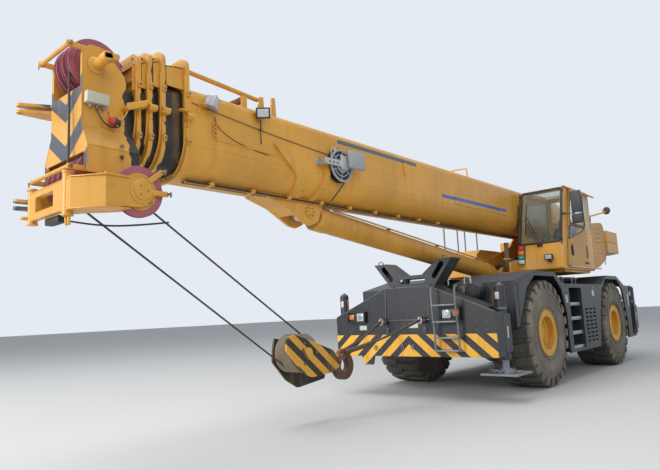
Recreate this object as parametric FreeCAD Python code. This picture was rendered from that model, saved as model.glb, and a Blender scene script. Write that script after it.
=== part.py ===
import FreeCAD, Part
import math
import os

os.makedirs("parts", exist_ok=True)
V = FreeCAD.Vector

# A two-axle rough-terrain crane with a five-section telescopic boom, parked with the boom over its front.
# Millimetres. +X is the machine's left, -Y its front, +Z up. While it is built, Y = 0 is the middle of the
# wheelbase; save() moves every piece so that the origin is under the middle of the overall length.

# Clearances
seat_gap = 0.4            # between two pieces that slide or turn on each other
side_gap = 6              # beside a piece that slides in a casing

# Wheels and axles
half_wheelbase = 2045
tyre_radius = 937
tyre_width = 750
track_half = 1195         # centre of a tyre from the centreline
rim_width = 640
bead_radius = 318
flange_radius = 408
flange_plate = 20
flange_gap = 4            # between the rim's flange and the sidewall's step
shoulder_radius = 870
lug_count = 20
lug_floor = 892
lug_share = 0.58          # of the pitch, at the lug's top
lug_slope = 0.08          # of the pitch, on each flank
barrel_wall = 26
disc_offset = 110         # wheel disc, outboard of the tyre's centre
disc_plate = 26
hub_radius = 205
hub_cap = 90
neck_radius = 120
drum_radius = 195
drum_start = 1010         # inner end of the hub drum
steer_arm = 260           # reach of the steering arm behind the axle
kingpin_x = 850
kingpin_radius = 45
kingpin_half = 230
knuckle_half = (75, 95)   # half size of the knuckle's body along X and Y
yoke_height = 215         # half height of the axle's fork
yoke_opening = 150        # half height of the gap that takes the knuckle
yoke_half = 100           # half length of the fork along Y
axle_end = 660
axle_tube_radius = 125
axle_bowl_radius = 255
axle_bowl_half = 150
pinion_radius, pinion_reach = 105, 420
axle_seat_x = (250, 385)  # where the housing meets the frame

# Carrier frame and deck
frame_half = 400
frame_top = 1780
frame_belly = 850
frame_arch = 1200         # underside over the axles
rear_overhang = 1415      # from the rear axle to the rear box
frame_rear = half_wheelbase + rear_overhang
pedestal_radius = 720
deck_rise = 32            # top of the deck above the frame's
deck_height = frame_top + deck_rise
deck_plate = 12
fender_rise = 208         # top of the wheel covers above the deck
fender_top = deck_height + fender_rise
side_x = 1550             # outer face of the side skirts
skirt_plate = 40
skirt_low = 500
step_front, step_rear = 1225 - half_wheelbase, -120
tread_levels = (600, 880, 1160, 1440)
tread_depth = 150
tread_height = 60
grille_rows, grille_columns = 9, 3
grille_front, grille_low = 20, 640
grille_pitch_y, grille_pitch_z = 250, 80

# Outrigger boxes, beams and jacks
front_overhang = 2085     # from the front axle to the front plate
front_face = -half_wheelbase - front_overhang
box_low, box_high = 680, 1340
cover_half = 1567         # half width of the front cover and of the beams' end plates
box_setback = 172         # the boxes end this far inside the covers
box_half = cover_half - box_setback
box_wall = 20
beam_depth, beam_height = 210, 420
beam_wall = 14
beam_floor = 790          # underside of the beams
channel_depth = beam_depth + 2 * side_gap
box_depth = 2 * channel_depth + 3 * box_wall
jack_x = cover_half - 80
beam_reach = jack_x - 47
jack_tube_radius = 80
jack_rod_radius = 55
jack_top = 1750
float_half = 290
float_plate = 30
float_level = 430
float_cone = (120, 70, 60)  # radius below, radius above and height
bare_level = 545          # end of a jack rod that has lost its float
bare_cone = (30, 45)      # end radius and height
end_plate = 16
end_plate_half = 120
tail_lamp_depth = 40

# Front cover, ladder and boom rest
cover_crown_half = 430
cover_crown = box_high + 480
cover_shoulder = box_high + 20
cover_plate = 20
cover_return = front_face + 260  # rear edge of the end plate on the cab's side
flap_outline = ((-1010, 0), (-960, -150), (-770, -150), (-730, 0))
frame_front = front_face + cover_plate + box_depth
front_box_y = frame_front - box_depth / 2
rear_box_y = frame_rear + box_depth / 2
rear_box_rear = frame_rear + box_depth
rest_front, rest_rear = front_face + 210, frame_front
rest_plate = 20
rest_tip_half, rest_tip = 790, cover_crown + 450
rest_foot_half = 430
rest_saddle_half, rest_saddle = 200, cover_crown + 210
rest_side_slot = ((440, 170), (585, 360))  # from the middle and the cover's crown
rest_low_slot = 110
ladder_x = (565, 990)
ladder_levels = (800, 1000, 1250, 1510)
ladder_standoff = 110

# Superstructure
slew_y = 0
ring_height = 205
ring_top = frame_top + ring_height
turn_radius = 700
bed_rise = 145            # top of the turntable's bed above the ring
bed_top = ring_top + bed_rise
bed_plate = 50
cheek_x = 425             # inner face of the turntable's side plates
cheek_plate = 32
foot_y, foot_z = 2350, 3300
foot_pin_radius = 60
foot_boss_radius = 110
tail_rear = 4000
weight_half = 1380
weight_front = 2720
weight_bevel = 3640       # where the rear corners are cut off
weight_low, weight_mid, weight_high = 2630, 2890, 3160
winch_places = ((3500, 3120), (3010, 2830))
winch_radius = 255

# Boom
boom_half = 410
boom_top = 3975
boom_bottom = 2985
boom_step = 38            # each section is this much smaller all round
boom_wall = 10
boom_corner = 110
boom_bend = 330           # lower corners of the base section
boom_rear = 2620
section_rear = 2100       # back end of the sliding sections
collar_fronts = (-8750, -9020, -9150, -9260)
collar_plate = 45
collar_rim = 35
collar_fins = (310, 355, 355, 355)  # each collar plate above its section's top
head_rear = -9300
head_front = -9830
head_half = 320
head_plate = 26
skirt_half = 450          # half width of the head's lower part
head_guard_y, head_guard_z = -9950, 4075
head_guard_radius = 22

# Fittings on the boom's side
reel_y, reel_z = -6260, 3470
reel_radius = 235
boom_lamp_places = ((-8400, 3770), (-7750, 3850))

# Sheaves at the head
top_pin_y, top_pin_z = -9660, 3930
top_sheave_radius = 280
low_pin_y, low_pin_z = -9620, 2730
low_sheave_radius = 235
sheave_width = 62
sheave_pin_radius = 50
sheave_groove = 40
top_sheaves = (-150, 0, 150)
low_sheaves = (-300, -180, -60, 60, 180, 300)
block_sheaves = (-120, -60, 0, 60, 120)
fall_sheaves = ((-60, -1), (60, 1))  # place and side of each fall

# Lift cylinder
lift_foot_y, lift_foot_z = -600, 2105
lift_eye_y, lift_eye_z = -6600, 2832
lift_barrel_radius = 172
lift_rod_radius = 120
lift_head_gap = 260       # from the barrel's head to the eye
lift_eye_radius = 105
lift_foot_radius = 108
lift_eye_half = 120
lift_pin_radius = 50
lift_neck = 400           # narrower foot end of the barrel
lift_ear_plate = 45
rib_plate = 40            # the bracket's ribs stand this far out of the boom
rib_outlines = (
    ((-7465, 3560), (-7380, 3560), (-6990, 3270), (-6870, 3010), (-6870, 2900), (-7040, 2900), (-7050, 3030),
     (-7080, 3220)),
    ((-6525, 3520), (-6425, 3465), (-6445, 3310), (-6600, 2930), (-6600, 2900), (-6690, 2900), (-6540, 3300)),
)

# Hook block
block_y, block_z = -6780, 950
block_half = 190
block_plate = 30
block_sheave_radius = 250
crosshead_y, crosshead_z = 560, -120  # from the sheave pin
crosshead_half = 60
shank_radius = 48
hook_y, hook_z = 920, -250            # bowl's centre from the sheave pin
hook_radius = 195
hook_half = 45
rope_radius = 12
hook_throat = 85

# Cab
cab_in, cab_out = 460, 1400
cab_wall = 45
cab_rear = 1500
door_gap = 6
door_plate = 36
door_low, door_high = 2200, 3860
door_rail = 24
glass_plate = 8
wheel_radius, wheel_rim = 200, 25   # steering wheel

# Lugs for a jib on the head's right side
jib_lug_x, jib_lug_tip = -540, -10050
jib_lug_radius = 42
jib_lug_plate = 30
jib_bore_radius = 25
jib_lug_places = ((3645, -head_half), (2650, -skirt_half))
jib_lug_opening = 40

# Auxiliary nose
nose_y = -9985
nose_low, nose_high = 2470, 2745
nose_pin_y, nose_pin_z = -9440, 2645
nose_sheave_radius = 240
nose_plates = ((600, 620), (712, 732))
nose_hub_radius = 60

# Overall reach, with the origin halfway
front_reach = jib_lug_tip - jib_lug_radius
rear_reach = rear_box_rear + tail_lamp_depth
origin_shift = -(front_reach + rear_reach) / 2


def save(name, shape):
    """Write one node, moved so that the origin is under the middle of the overall length."""
    placed = shape.copy()
    placed.translate(V(0, origin_shift, 0))
    placed.exportStep(f"parts/{name}.step")


def block(x, y, z):
    """Box from its low and high values along X, Y and Z."""
    return Part.makeBox(x[1] - x[0], y[1] - y[0], z[1] - z[0], V(x[0], y[0], z[0]))


def rod(start, end, radius):
    """Round bar between two points."""
    base = V(*start)
    along = V(*end) - base
    return Part.makeCylinder(radius, along.Length, base, along)


def rounded_wire(points):
    """Closed outline through (a, b) or (a, b, radius) corners, in the XY plane."""
    corners = []
    for index, here in enumerate(points):
        point = V(here[0], here[1], 0)
        if len(here) < 3:
            corners.append((point, None, point))
            continue
        before, after = points[index - 1], points[(index + 1) % len(points)]
        back = (V(before[0], before[1], 0) - point).normalize()
        onward = (V(after[0], after[1], 0) - point).normalize()
        half_angle = back.getAngle(onward) / 2
        bisector = (back + onward).normalize()
        run = here[2] / math.tan(half_angle)
        middle = point + bisector * (here[2] / math.sin(half_angle) - here[2])
        corners.append((point + back * run, middle, point + onward * run))
    edges = []
    for index, (start, middle, end) in enumerate(corners):
        if middle is not None:
            edges.append(Part.Arc(start, middle, end).toShape())
        following = corners[(index + 1) % len(corners)][0]
        if (following - end).Length > 0.01:
            edges.append(Part.LineSegment(end, following).toShape())
    return Part.Wire(edges)


def prism(points, plane, low, high):
    """Outline in the plane yz, xz or xy, drawn out along the third axis from low to high."""
    face = Part.Face(rounded_wire(points))
    if plane == "yz":
        turn = FreeCAD.Matrix(0, 0, 1, 0, 1, 0, 0, 0, 0, 1, 0, 0, 0, 0, 0, 1)
        base, along = V(low, 0, 0), V(high - low, 0, 0)
    elif plane == "xz":
        turn = FreeCAD.Matrix(1, 0, 0, 0, 0, 0, -1, 0, 0, 1, 0, 0, 0, 0, 0, 1)
        base, along = V(0, low, 0), V(0, high - low, 0)
    else:
        turn = FreeCAD.Matrix()
        base, along = V(0, 0, low), V(0, 0, high - low)
    face = face.transformed(turn)
    face.translate(base)
    return face.extrude(along)


def lathe(points, centre):
    """Outline of (x, radius) corners spun about an axis along X through centre."""
    face = Part.Face(rounded_wire(points))
    solid = face.revolve(V(0, 0, 0), V(1, 0, 0), 360)
    solid.translate(V(*centre))
    return solid


def join(shapes):
    """One shape from several that touch or overlap."""
    result = shapes[0].multiFuse(shapes[1:]) if len(shapes) > 1 else shapes[0]
    return result.removeSplitter()


def apart(shapes):
    """Several solids that do not touch, kept as one node."""
    return Part.makeCompound(shapes)


def across(shape):
    """The same piece on the machine's other side."""
    return shape.mirror(V(0, 0, 0), V(1, 0, 0))


def slot(a, b, half, plane, low, high):
    """Cutter for a slot with round ends between two points of a plane."""
    along = (V(b[0], b[1], 0) - V(a[0], a[1], 0)).normalize()
    side = V(-along.y, along.x, 0) * half
    tip = along * half
    corners = []
    for point, sign in ((a, -1), (b, 1)):
        centre = V(point[0], point[1], 0) + tip * sign
        corners.append((centre.x - side.x * sign, centre.y - side.y * sign, half * 0.98))
        corners.append((centre.x + side.x * sign, centre.y + side.y * sign, half * 0.98))
    return prism(corners, plane, low, high)


# Wheels: tyre and rim
def tyre(x, y):
    """Tyre with lugs right across its tread."""
    bead, half = rim_width / 2, tyre_width / 2
    step = flange_radius + flange_gap
    body = lathe([(-bead, bead_radius), (-bead, step), (-half, step), (-half, shoulder_radius),
                  (half, shoulder_radius), (half, step), (bead, step), (bead, bead_radius)], (x, y, tyre_radius))
    corners_of_lug = ((lug_floor, -lug_slope), (tyre_radius, 0), (tyre_radius, lug_share),
                      (lug_floor, lug_share + lug_slope))
    pitch = 2 * math.pi / lug_count
    outline = []
    for lug in range(lug_count):
        start = lug * pitch - math.pi / 2
        for radius, share in corners_of_lug:
            angle = start + share * pitch
            outline.append((y + radius * math.cos(angle), tyre_radius + radius * math.sin(angle)))
    core = rod((x - half, y, tyre_radius), (x + half, y, tyre_radius), shoulder_radius - 40)
    return join([body, prism(outline, "yz", x - half, x + half).cut(core)])


def rim(x, y, side):
    """Rim turned as one: barrel with its flanges, wheel disc and hub cap."""
    bead = rim_width / 2
    lip = bead + flange_plate
    inner = bead_radius - barrel_wall
    face = disc_offset + disc_plate
    outline = [
        (disc_offset, 0), (disc_offset, inner), (-lip, inner), (-lip, flange_radius), (-bead, flange_radius),
        (-bead, bead_radius), (bead, bead_radius), (bead, flange_radius), (lip, flange_radius), (lip, inner),
        (face, inner), (face, hub_radius), (face + hub_cap, hub_radius), (face + hub_cap, 0),
    ]
    return lathe([(side * along, radius) for along, radius in outline], (x, y, tyre_radius))


def knuckle(x, y, side):
    """Steering knuckle between the fork's arms: kingpin, hub drum up to the wheel disc and steering arm."""
    z = tyre_radius
    pin = side * kingpin_x
    gap = yoke_opening - seat_gap
    half_x, half_y = knuckle_half
    body = block((pin - half_x, pin + half_x), (y - half_y, y + half_y), (z - gap, z + gap))
    kingpin = rod((pin, y, z - kingpin_half), (pin, y, z + kingpin_half), kingpin_radius)
    drum_end = x + side * (disc_offset - seat_gap)
    hub = lathe([(pin, 0), (pin, neck_radius), (side * drum_start, neck_radius), (side * drum_start, drum_radius),
                 (drum_end, drum_radius), (drum_end, 0)], (0, y, z))
    arm_x = sorted((pin - side * half_x, pin - side * half_x / 4))
    arm = block(arm_x, (y, y + steer_arm), (z - 40, z))
    return join([body, kingpin, hub, arm])


def axle(y, nose):
    """Drive axle: housing with its bowl, forks for the knuckles, pinion nose and frame seats."""
    z = tyre_radius
    half = axle_end
    pieces = [rod((-half, y, z), (half, y, z), axle_tube_radius),
              rod((-axle_bowl_half, y, z), (axle_bowl_half, y, z), axle_bowl_radius),
              rod((0, y, z), (0, y + nose * pinion_reach, z), pinion_radius)]
    half_x, half_y = knuckle_half
    for side in (-1, 1):
        reach = sorted((side * half, side * (kingpin_x + half_x + 10)))
        fork = block(reach, (y - yoke_half, y + yoke_half), (z - yoke_height, z + yoke_height))
        gap_x = sorted((side * (kingpin_x - half_x - 55), side * (kingpin_x + half_x + 125)))
        fork = fork.cut(block(gap_x, (y - 150, y + 150), (z - yoke_opening, z + yoke_opening)))
        bore = rod((side * kingpin_x, y, z - kingpin_half), (side * kingpin_x, y, z + kingpin_half),
                   kingpin_radius + seat_gap)
        seat_x = sorted(side * x for x in axle_seat_x)
        seat = block(seat_x, (y - 130, y + 130), (z + 60, frame_arch))
        pieces += [fork.cut(bore), seat]
    return join(pieces)


# Carrier frame
def frame():
    arch_end = 865 - half_wheelbase
    belly = [
        (frame_front, frame_arch), (arch_end - 200, frame_arch), (arch_end, frame_belly),
        (-arch_end, frame_belly), (200 - arch_end, frame_arch), (frame_rear, frame_arch),
        (frame_rear, frame_top), (frame_front, frame_top),
    ]
    body = prism(belly, "yz", -frame_half, frame_half)
    pedestal = Part.makeCylinder(pedestal_radius, 330, V(0, slew_y, frame_top - 330))
    pocket = block((-frame_half + 60, frame_half - 60), (frame_rear - 1980, frame_rear - 80), (frame_arch + 60, frame_top + 10))
    return join([body.cut(pocket), pedestal])


def slew_ring():
    """Bearing's fixed ring on the pedestal."""
    outer = Part.makeCylinder(pedestal_radius - 10, ring_top - frame_top, V(0, slew_y, frame_top))
    inner = Part.makeCylinder(pedestal_radius - 130, ring_top - frame_top, V(0, slew_y, frame_top))
    return outer.cut(inner)


def skirt_outline():
    """Side skirt with both wheel arches, seen from the side."""
    front, back = -half_wheelbase, half_wheelbase
    rear = frame_rear - 20
    inner = fender_top - 80
    return [
        (front - 1285, 1100), (front - 1285, deck_height + 28), (front - 455, fender_top),
        (front + 545, fender_top), (front + 925, deck_height), (back - 775, deck_height),
        (back - 345, fender_top), (back + 455, fender_top), (rear - 360, deck_height - 12),
        (rear, deck_height - 12), (rear, 550), (back + 1055, 550), (back + 1055, 950), (back + 855, 1700),
        (back + 455, inner), (back - 445, inner), (back - 775, 1700), (back - 1025, 1200),
        (back - 1225, skirt_low), (front + 1045, skirt_low), (front + 1015, 600), (front + 1015, 1230),
        (front + 825, 1720), (front + 495, inner), (front - 415, inner), (front - 785, 1730),
        (front - 1195, 1100),
    ]


def deck_outline():
    """Folded deck sheet over the wheels and between them, seen from the side."""
    front, back = -half_wheelbase, half_wheelbase
    rear = frame_rear - 20
    tail = deck_height - 12
    top = [
        (front - 1285, 1100), (front - 1285, deck_height + 28), (front - 455, fender_top),
        (front + 545, fender_top), (front + 925, deck_height), (back - 775, deck_height),
        (back - 345, fender_top), (back + 455, fender_top), (rear - 360, tail), (rear, tail),
    ]
    under = [
        (rear, tail - deck_plate), (rear - 365, tail - deck_plate), (back + 450, fender_top - deck_plate),
        (back - 340, fender_top - deck_plate), (back - 770, deck_height - deck_plate),
        (front + 920, deck_height - deck_plate), (front + 540, fender_top - deck_plate),
        (front - 450, fender_top - deck_plate), (front - 1273, deck_height + 18), (front - 1273, 1100),
    ]
    return top + under


def deck():
    """Folded deck sheets over the wheels, one on each side of the frame."""
    left = prism(deck_outline(), "yz", frame_half, side_x - skirt_plate)
    left = left.cut(Part.makeCylinder(pedestal_radius, 200, V(0, slew_y, 1700)))
    return apart([left, across(left)])


def side_skirts():
    """Side plates with the wheel arches, the step well's opening and the tank's grille."""
    left = prism(skirt_outline(), "yz", side_x - skirt_plate, side_x)
    left = left.cut(block((side_x - 60, side_x + 10), (step_front, step_rear), (550, deck_height - 80)))
    for row in range(grille_rows):
        for column in range(grille_columns):
            y = grille_front + column * grille_pitch_y
            z = grille_low + row * grille_pitch_z
            left = left.cut(block((side_x - skirt_plate, side_x), (y, y + 170), (z, z + 34)))
    return apart([left, across(left)])


def side_steps():
    """Step well between the wheels: two stringers and four treads on each side."""
    stringers = []
    for y in (step_front, step_rear - 15):
        stringers.append(block((1180, side_x - skirt_plate), (y, y + 15), (skirt_low, deck_height - deck_plate)))
    treads = []
    for level in tread_levels:
        treads.append(block((side_x - skirt_plate - tread_depth, side_x - skirt_plate),
                            (step_front + 15, step_rear - 15), (level - tread_height, level)))
    left = join(stringers + treads)
    return apart([left, across(left)])


def side_box():
    """Closed tank body behind the steps, one on each side."""
    inner = frame_half
    body = block((inner, side_x - skirt_plate), (step_rear, 800), (skirt_low + 20, deck_height - deck_plate))
    body = body.cut(Part.makeCylinder(pedestal_radius, 500, V(0, slew_y, frame_top - 330)))
    return apart([body, across(body)])


# Outrigger boxes
def channel_y(centre_y, channel):
    """Middle of one of a box's two channels."""
    return centre_y + (channel - 0.5) * (channel_depth + box_wall)


def outrigger_box(centre_y):
    """Casing with two channels for the beams, one behind the other."""
    body = block((-box_half, box_half), (centre_y - box_depth / 2, centre_y + box_depth / 2), (box_low, box_high))
    for channel in range(2):
        y = channel_y(centre_y, channel)
        body = body.cut(block((-box_half - 10, box_half + 10), (y - channel_depth / 2, y + channel_depth / 2),
                              (beam_floor, beam_floor + beam_height + side_gap)))
    return body


def beam(centre_y, channel, side):
    """Sliding beam with its upright jack tube and end plate."""
    y = channel_y(centre_y, channel)
    floor = beam_floor + seat_gap
    x = sorted((-side * (box_half - 20), side * beam_reach))
    body = block(x, (y - beam_depth / 2, y + beam_depth / 2), (floor, floor + beam_height))
    inner_x = sorted((-side * box_half, side * (beam_reach - 60)))
    body = body.cut(block(inner_x, (y - beam_depth / 2 + beam_wall, y + beam_depth / 2 - beam_wall),
                          (floor + beam_wall, floor + beam_height - beam_wall)))
    tube = rod((side * jack_x, y, box_low - 60), (side * jack_x, y, jack_top), jack_tube_radius)
    bore = rod((side * jack_x, y, box_low - 70), (side * jack_x, y, jack_top - 40), jack_rod_radius + seat_gap)
    plate_x = sorted((side * (cover_half - end_plate), side * cover_half))
    plate = block(plate_x, (y - end_plate_half, y + end_plate_half), (box_low + 60, box_high - 20))
    web_x = sorted((side * (jack_x), side * (cover_half - end_plate)))
    web = block(web_x, (y - 20, y + 20), (box_low + 80, box_high - 60))
    return join([body, tube, web, plate]).cut(bore)


def jack(centre_y, channel, side, has_float):
    """Jack rod with its float, or with the bare end that the float has come off."""
    y = channel_y(centre_y, channel)
    x = side * jack_x
    if not has_float:
        end_radius, end_height = bare_cone
        end = lathe([(0, 0), (0, end_radius), (end_height, jack_rod_radius), (end_height, 0)], (0, 0, 0))
        end.rotate(V(0, 0, 0), V(0, 1, 0), -90)
        end.translate(V(x, y, bare_level))
        return join([end, rod((x, y, bare_level + end_height), (x, y, jack_top - 120), jack_rod_radius)])
    low_radius, high_radius, height = float_cone
    ram = rod((x, y, float_level), (x, y, jack_top - 120), jack_rod_radius)
    foot = lathe([(0, 0), (0, low_radius), (height, high_radius), (height, 0)], (0, 0, 0))
    foot.rotate(V(0, 0, 0), V(0, 1, 0), -90)
    foot.translate(V(x, y, float_level))
    pad = block((x - float_half, x + float_half), (y - float_half, y + float_half),
                (float_level - float_plate, float_level))
    return join([ram, foot, pad])


# Front cover, ladder, lamps and boom rest
def cover_outline(half, shoulder):
    slope = (cover_crown - cover_shoulder) / (cover_half - cover_crown_half)
    edge = cover_crown - slope * (half - cover_crown_half)
    return [(-half, shoulder), (-half, edge), (-cover_crown_half, cover_crown),
            (cover_crown_half, cover_crown), (half, edge), (half, shoulder)]


def front_cover():
    """Folded hood over the front box, with the full-width front plate and its return at the cab's side."""
    face = prism(cover_outline(cover_half, box_low), "xz", front_face, front_face + cover_plate)
    hood = prism(cover_outline(box_half - 15, box_high), "xz", front_face + cover_plate, frame_front)
    flap = prism([(x, box_low + z) for x, z in flap_outline], "xz", front_face, front_face + cover_plate)
    end = block((cover_half - cover_plate, cover_half), (front_face, cover_return), (box_low, cover_shoulder))
    return join([face, hood, flap, end])


def boom_rest():
    """Fork-shaped rest for the lift cylinder and boom: two plates with slots, joined along the saddle."""
    outline = [
        (-rest_foot_half, cover_crown), (-rest_tip_half, rest_tip), (-rest_tip_half + 270, rest_tip),
        (-rest_saddle_half, rest_saddle), (rest_saddle_half, rest_saddle), (rest_tip_half - 270, rest_tip),
        (rest_tip_half, rest_tip), (rest_foot_half, cover_crown),
    ]
    body = prism(outline, "xz", rest_front, rest_rear)
    inner = [
        (-rest_foot_half + 40, cover_crown + 20), (-rest_tip_half + 42, rest_tip - 20),
        (-rest_tip_half + 262, rest_tip - 20), (-rest_saddle_half - 10, rest_saddle - 20),
        (rest_saddle_half + 10, rest_saddle - 20), (rest_tip_half - 262, rest_tip - 20),
        (rest_tip_half - 42, rest_tip - 20), (rest_foot_half - 40, cover_crown + 20),
    ]
    body = body.cut(prism(inner, "xz", rest_front + rest_plate, rest_rear - rest_plate))
    reach = (rest_front - 10, rest_rear + 10)
    for side in (-1, 1):
        low, high = [(side * x, cover_crown + z) for x, z in rest_side_slot]
        body = body.cut(slot(low, high, 45, "xz", *reach))
    level = cover_crown + rest_low_slot
    return body.cut(slot((-215, level), (215, level), 42, "xz", *reach))


def ladder():
    rail_y = front_face - ladder_standoff
    pieces = []
    for x in ladder_x:
        pieces.append(block((x - 14, x + 14), (rail_y - 14, rail_y + 14), (760, 1790)))
        for z in (775, 1480):
            pieces.append(block((x - 14, x + 14), (rail_y, front_face), (z - 14, z + 14)))
    for level in ladder_levels:
        pieces.append(block(ladder_x, (rail_y - 40, rail_y + 40), (level - 35, level)))
    return join(pieces)


def lamps():
    """Head lamps in their housings on the front plate and tail lamps on the rear box."""
    units = []
    for x, half in ((-1050, 190), (840, 170)):
        units.append(block((x - half, x + half), (front_face - 70, front_face), (1260, 1450)))
    for x in (-1150, 1150):
        units.append(block((x - 150, x + 150), (rear_box_rear, rear_box_rear + tail_lamp_depth),
                           (1160, 1280)))
    return apart(units)


# Engine and its hood
def engine():
    return block((-300, 300), (frame_rear - 1560, frame_rear - 260), (frame_arch + 60, frame_top + 100))


def engine_hood():
    front, rear, plate = frame_rear - 2010, frame_rear - 20, 15
    outer = [(front, frame_top), (front, frame_top + 120), (front + 200, frame_top + 170, 60),
             (rear - 60, frame_top + 270, 60), (rear, frame_top + 200), (rear, frame_top)]
    inner = [(front + plate, frame_top - 10), (front + plate, frame_top + 110),
             (front + 205, frame_top + 156), (rear - 70, frame_top + 253), (rear - plate, frame_top + 190),
             (rear - plate, frame_top - 10)]
    body = prism(outer, "yz", -frame_half, frame_half)
    body = body.cut(prism(inner, "yz", -frame_half + plate, frame_half - plate))
    for row in range(4):
        z = frame_top + 40 + row * 38
        body = body.cut(block((-300, 300), (rear - 40, rear + 20), (z, z + 18)))
    return body


# Superstructure
def cheek_outline():
    """Side plate of the turntable, from the lift cylinder's foot to the counterweight."""
    return [
        (-900, bed_top), (-900, 2330, 40), (-350, 2420, 200), (1150, 2850, 200), (1900, 3480, 100),
        (2130, 3600, 160), (2570, 3600, 160), (2850, weight_high, 60), (3250, weight_high, 60),
        (3350, 3300, 60), (3650, 3300, 60), (3750, weight_high, 60), (tail_rear - 100, weight_high),
        (tail_rear - 100, 2500, 60), (2950, 2460, 150), (2300, 2200, 150), (1500, bed_top),
    ]


def turntable():
    disc = Part.makeCylinder(turn_radius, bed_top - ring_top - seat_gap, V(0, slew_y, ring_top + seat_gap))
    bed_x = cheek_x + cheek_plate
    bed = block((-bed_x, bed_x), (-950, 1520), (bed_top - bed_plate, bed_top))
    well_x = lift_barrel_radius + side_gap
    well = block((-well_x, well_x), (-960, lift_foot_y + 160), (ring_top, bed_top + 10))
    floor = join([disc, bed]).cut(well)
    pieces = [floor]
    for side in (-1, 1):
        cheek_range = sorted((side * cheek_x, side * bed_x))
        cheek = prism(cheek_outline(), "yz", *cheek_range)
        hand = block(sorted((side * bed_x, side * 1330)), (-250, 1350), (bed_top - bed_plate, bed_top))
        ear_x = sorted((side * (lift_eye_half + seat_gap), side * (well_x + 10)))
        ear = prism([(lift_foot_y - 150, ring_top + 5), (lift_foot_y - 150, lift_foot_z + 150, 140),
                     (lift_foot_y + 165, lift_foot_z + 150, 140), (lift_foot_y + 165, ring_top + 5)], "yz", *ear_x)
        pieces += [cheek, hand, ear]
    pieces.append(rod((-well_x, lift_foot_y, lift_foot_z), (well_x, lift_foot_y, lift_foot_z), lift_pin_radius))
    pieces.append(rod((-bed_x - 20, foot_y, foot_z), (bed_x + 20, foot_y, foot_z), foot_pin_radius))
    pieces.append(block((-cheek_x, cheek_x), (3000, 3800), (2500, 2540)))
    pieces.append(block((-cheek_x, cheek_x), (1350, 1400), (bed_top, 2500)))
    return join(pieces)


def counterweight():
    slabs = []
    for low, high in ((weight_low, weight_mid - 10), (weight_mid, weight_high)):
        outline = [
            (-weight_half, weight_front), (weight_half, weight_front), (weight_half, weight_bevel),
            (weight_half - 330, tail_rear), (-weight_half + 330, tail_rear), (-weight_half, weight_bevel),
        ]
        slab = prism(outline, "xy", low, high)
        half = cheek_x + cheek_plate
        slabs.append(slab.cut(block((-half, half), (weight_front - 10, tail_rear - 100), (low - 10, high + 10))))
    spacer = block((-1000, 1000), (tail_rear - 90, tail_rear - 40), (weight_mid - 10, weight_mid))
    return join(slabs + [spacer])


def winches():
    """Two hoist drums on the tail, full of rope, with their end bearings in the side plates."""
    units = []
    for y, z in winch_places:
        units.append(lathe([
            (-cheek_x, 0), (-cheek_x, 140), (-300, 140), (-300, winch_radius), (300, winch_radius),
            (300, 140), (cheek_x, 140), (cheek_x, 0)], (0, y, z)))
    return apart(units)


# Cab
def cab_outline(inset):
    """Cab seen from the side, inset from its outer skin."""
    i = inset
    return [
        (-500 + i, bed_top + i, 40), (-420 + i, 2680, 60), (-60 + i, 3900 - i, 70), (cab_rear - i, 3925 - i, 90),
        (cab_rear - i, bed_top + i, 40),
    ]


def cab_windows():
    """Cutters of the cab's openings, each reaching through one wall."""
    over = 80
    left = (cab_out - cab_wall - over, cab_out + 10)
    right = (cab_in - 10, cab_in + cab_wall + over)
    return {
        "front": prism([(515, 2715, 40), (1345, 2715, 40), (1345, 3850, 40), (515, 3850, 40)], "xz", -700, 260),
        "left": prism([(1085, 2990, 30), (1460, 2990, 30), (1460, 3830, 60), (1085, 3830, 30)], "yz", *left),
        "right": prism([(-150, 2900, 60), (1420, 2900, 60), (1420, 3830, 60), (140, 3830, 60)], "yz", *right),
        "rear": prism([(560, 3330, 40), (1300, 3330, 40), (1300, 3830, 40), (560, 3830, 40)], "xz",
                      cab_rear - cab_wall - over, cab_rear + 10),
        "roof": prism([(560, 250, 60), (1300, 250, 60), (1300, 1150, 60), (560, 1150, 60)], "xy",
                      3860 - over, 4000),
    }


door_opening = [(-170, 2230, 30), (-70, 2690, 40), (200, 3800, 60), (900, 3800, 40), (900, 2230, 30)]


def cab_shell():
    body = prism(cab_outline(0), "yz", cab_in, cab_out)
    body = body.cut(prism(cab_outline(cab_wall), "yz", cab_in + cab_wall, cab_out - cab_wall))
    for cutter in cab_windows().values():
        body = body.cut(cutter)
    return body.cut(prism(door_opening, "yz", cab_out - cab_wall - 20, cab_out + 10))


def cab_glass():
    skin = prism(cab_outline(0), "yz", cab_in, cab_out)
    skin = skin.cut(prism(cab_outline(glass_plate), "yz", cab_in + glass_plate, cab_out - glass_plate))
    panes = []
    for cutter in cab_windows().values():
        panes.append(skin.common(cutter))
    return apart(panes)


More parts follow.
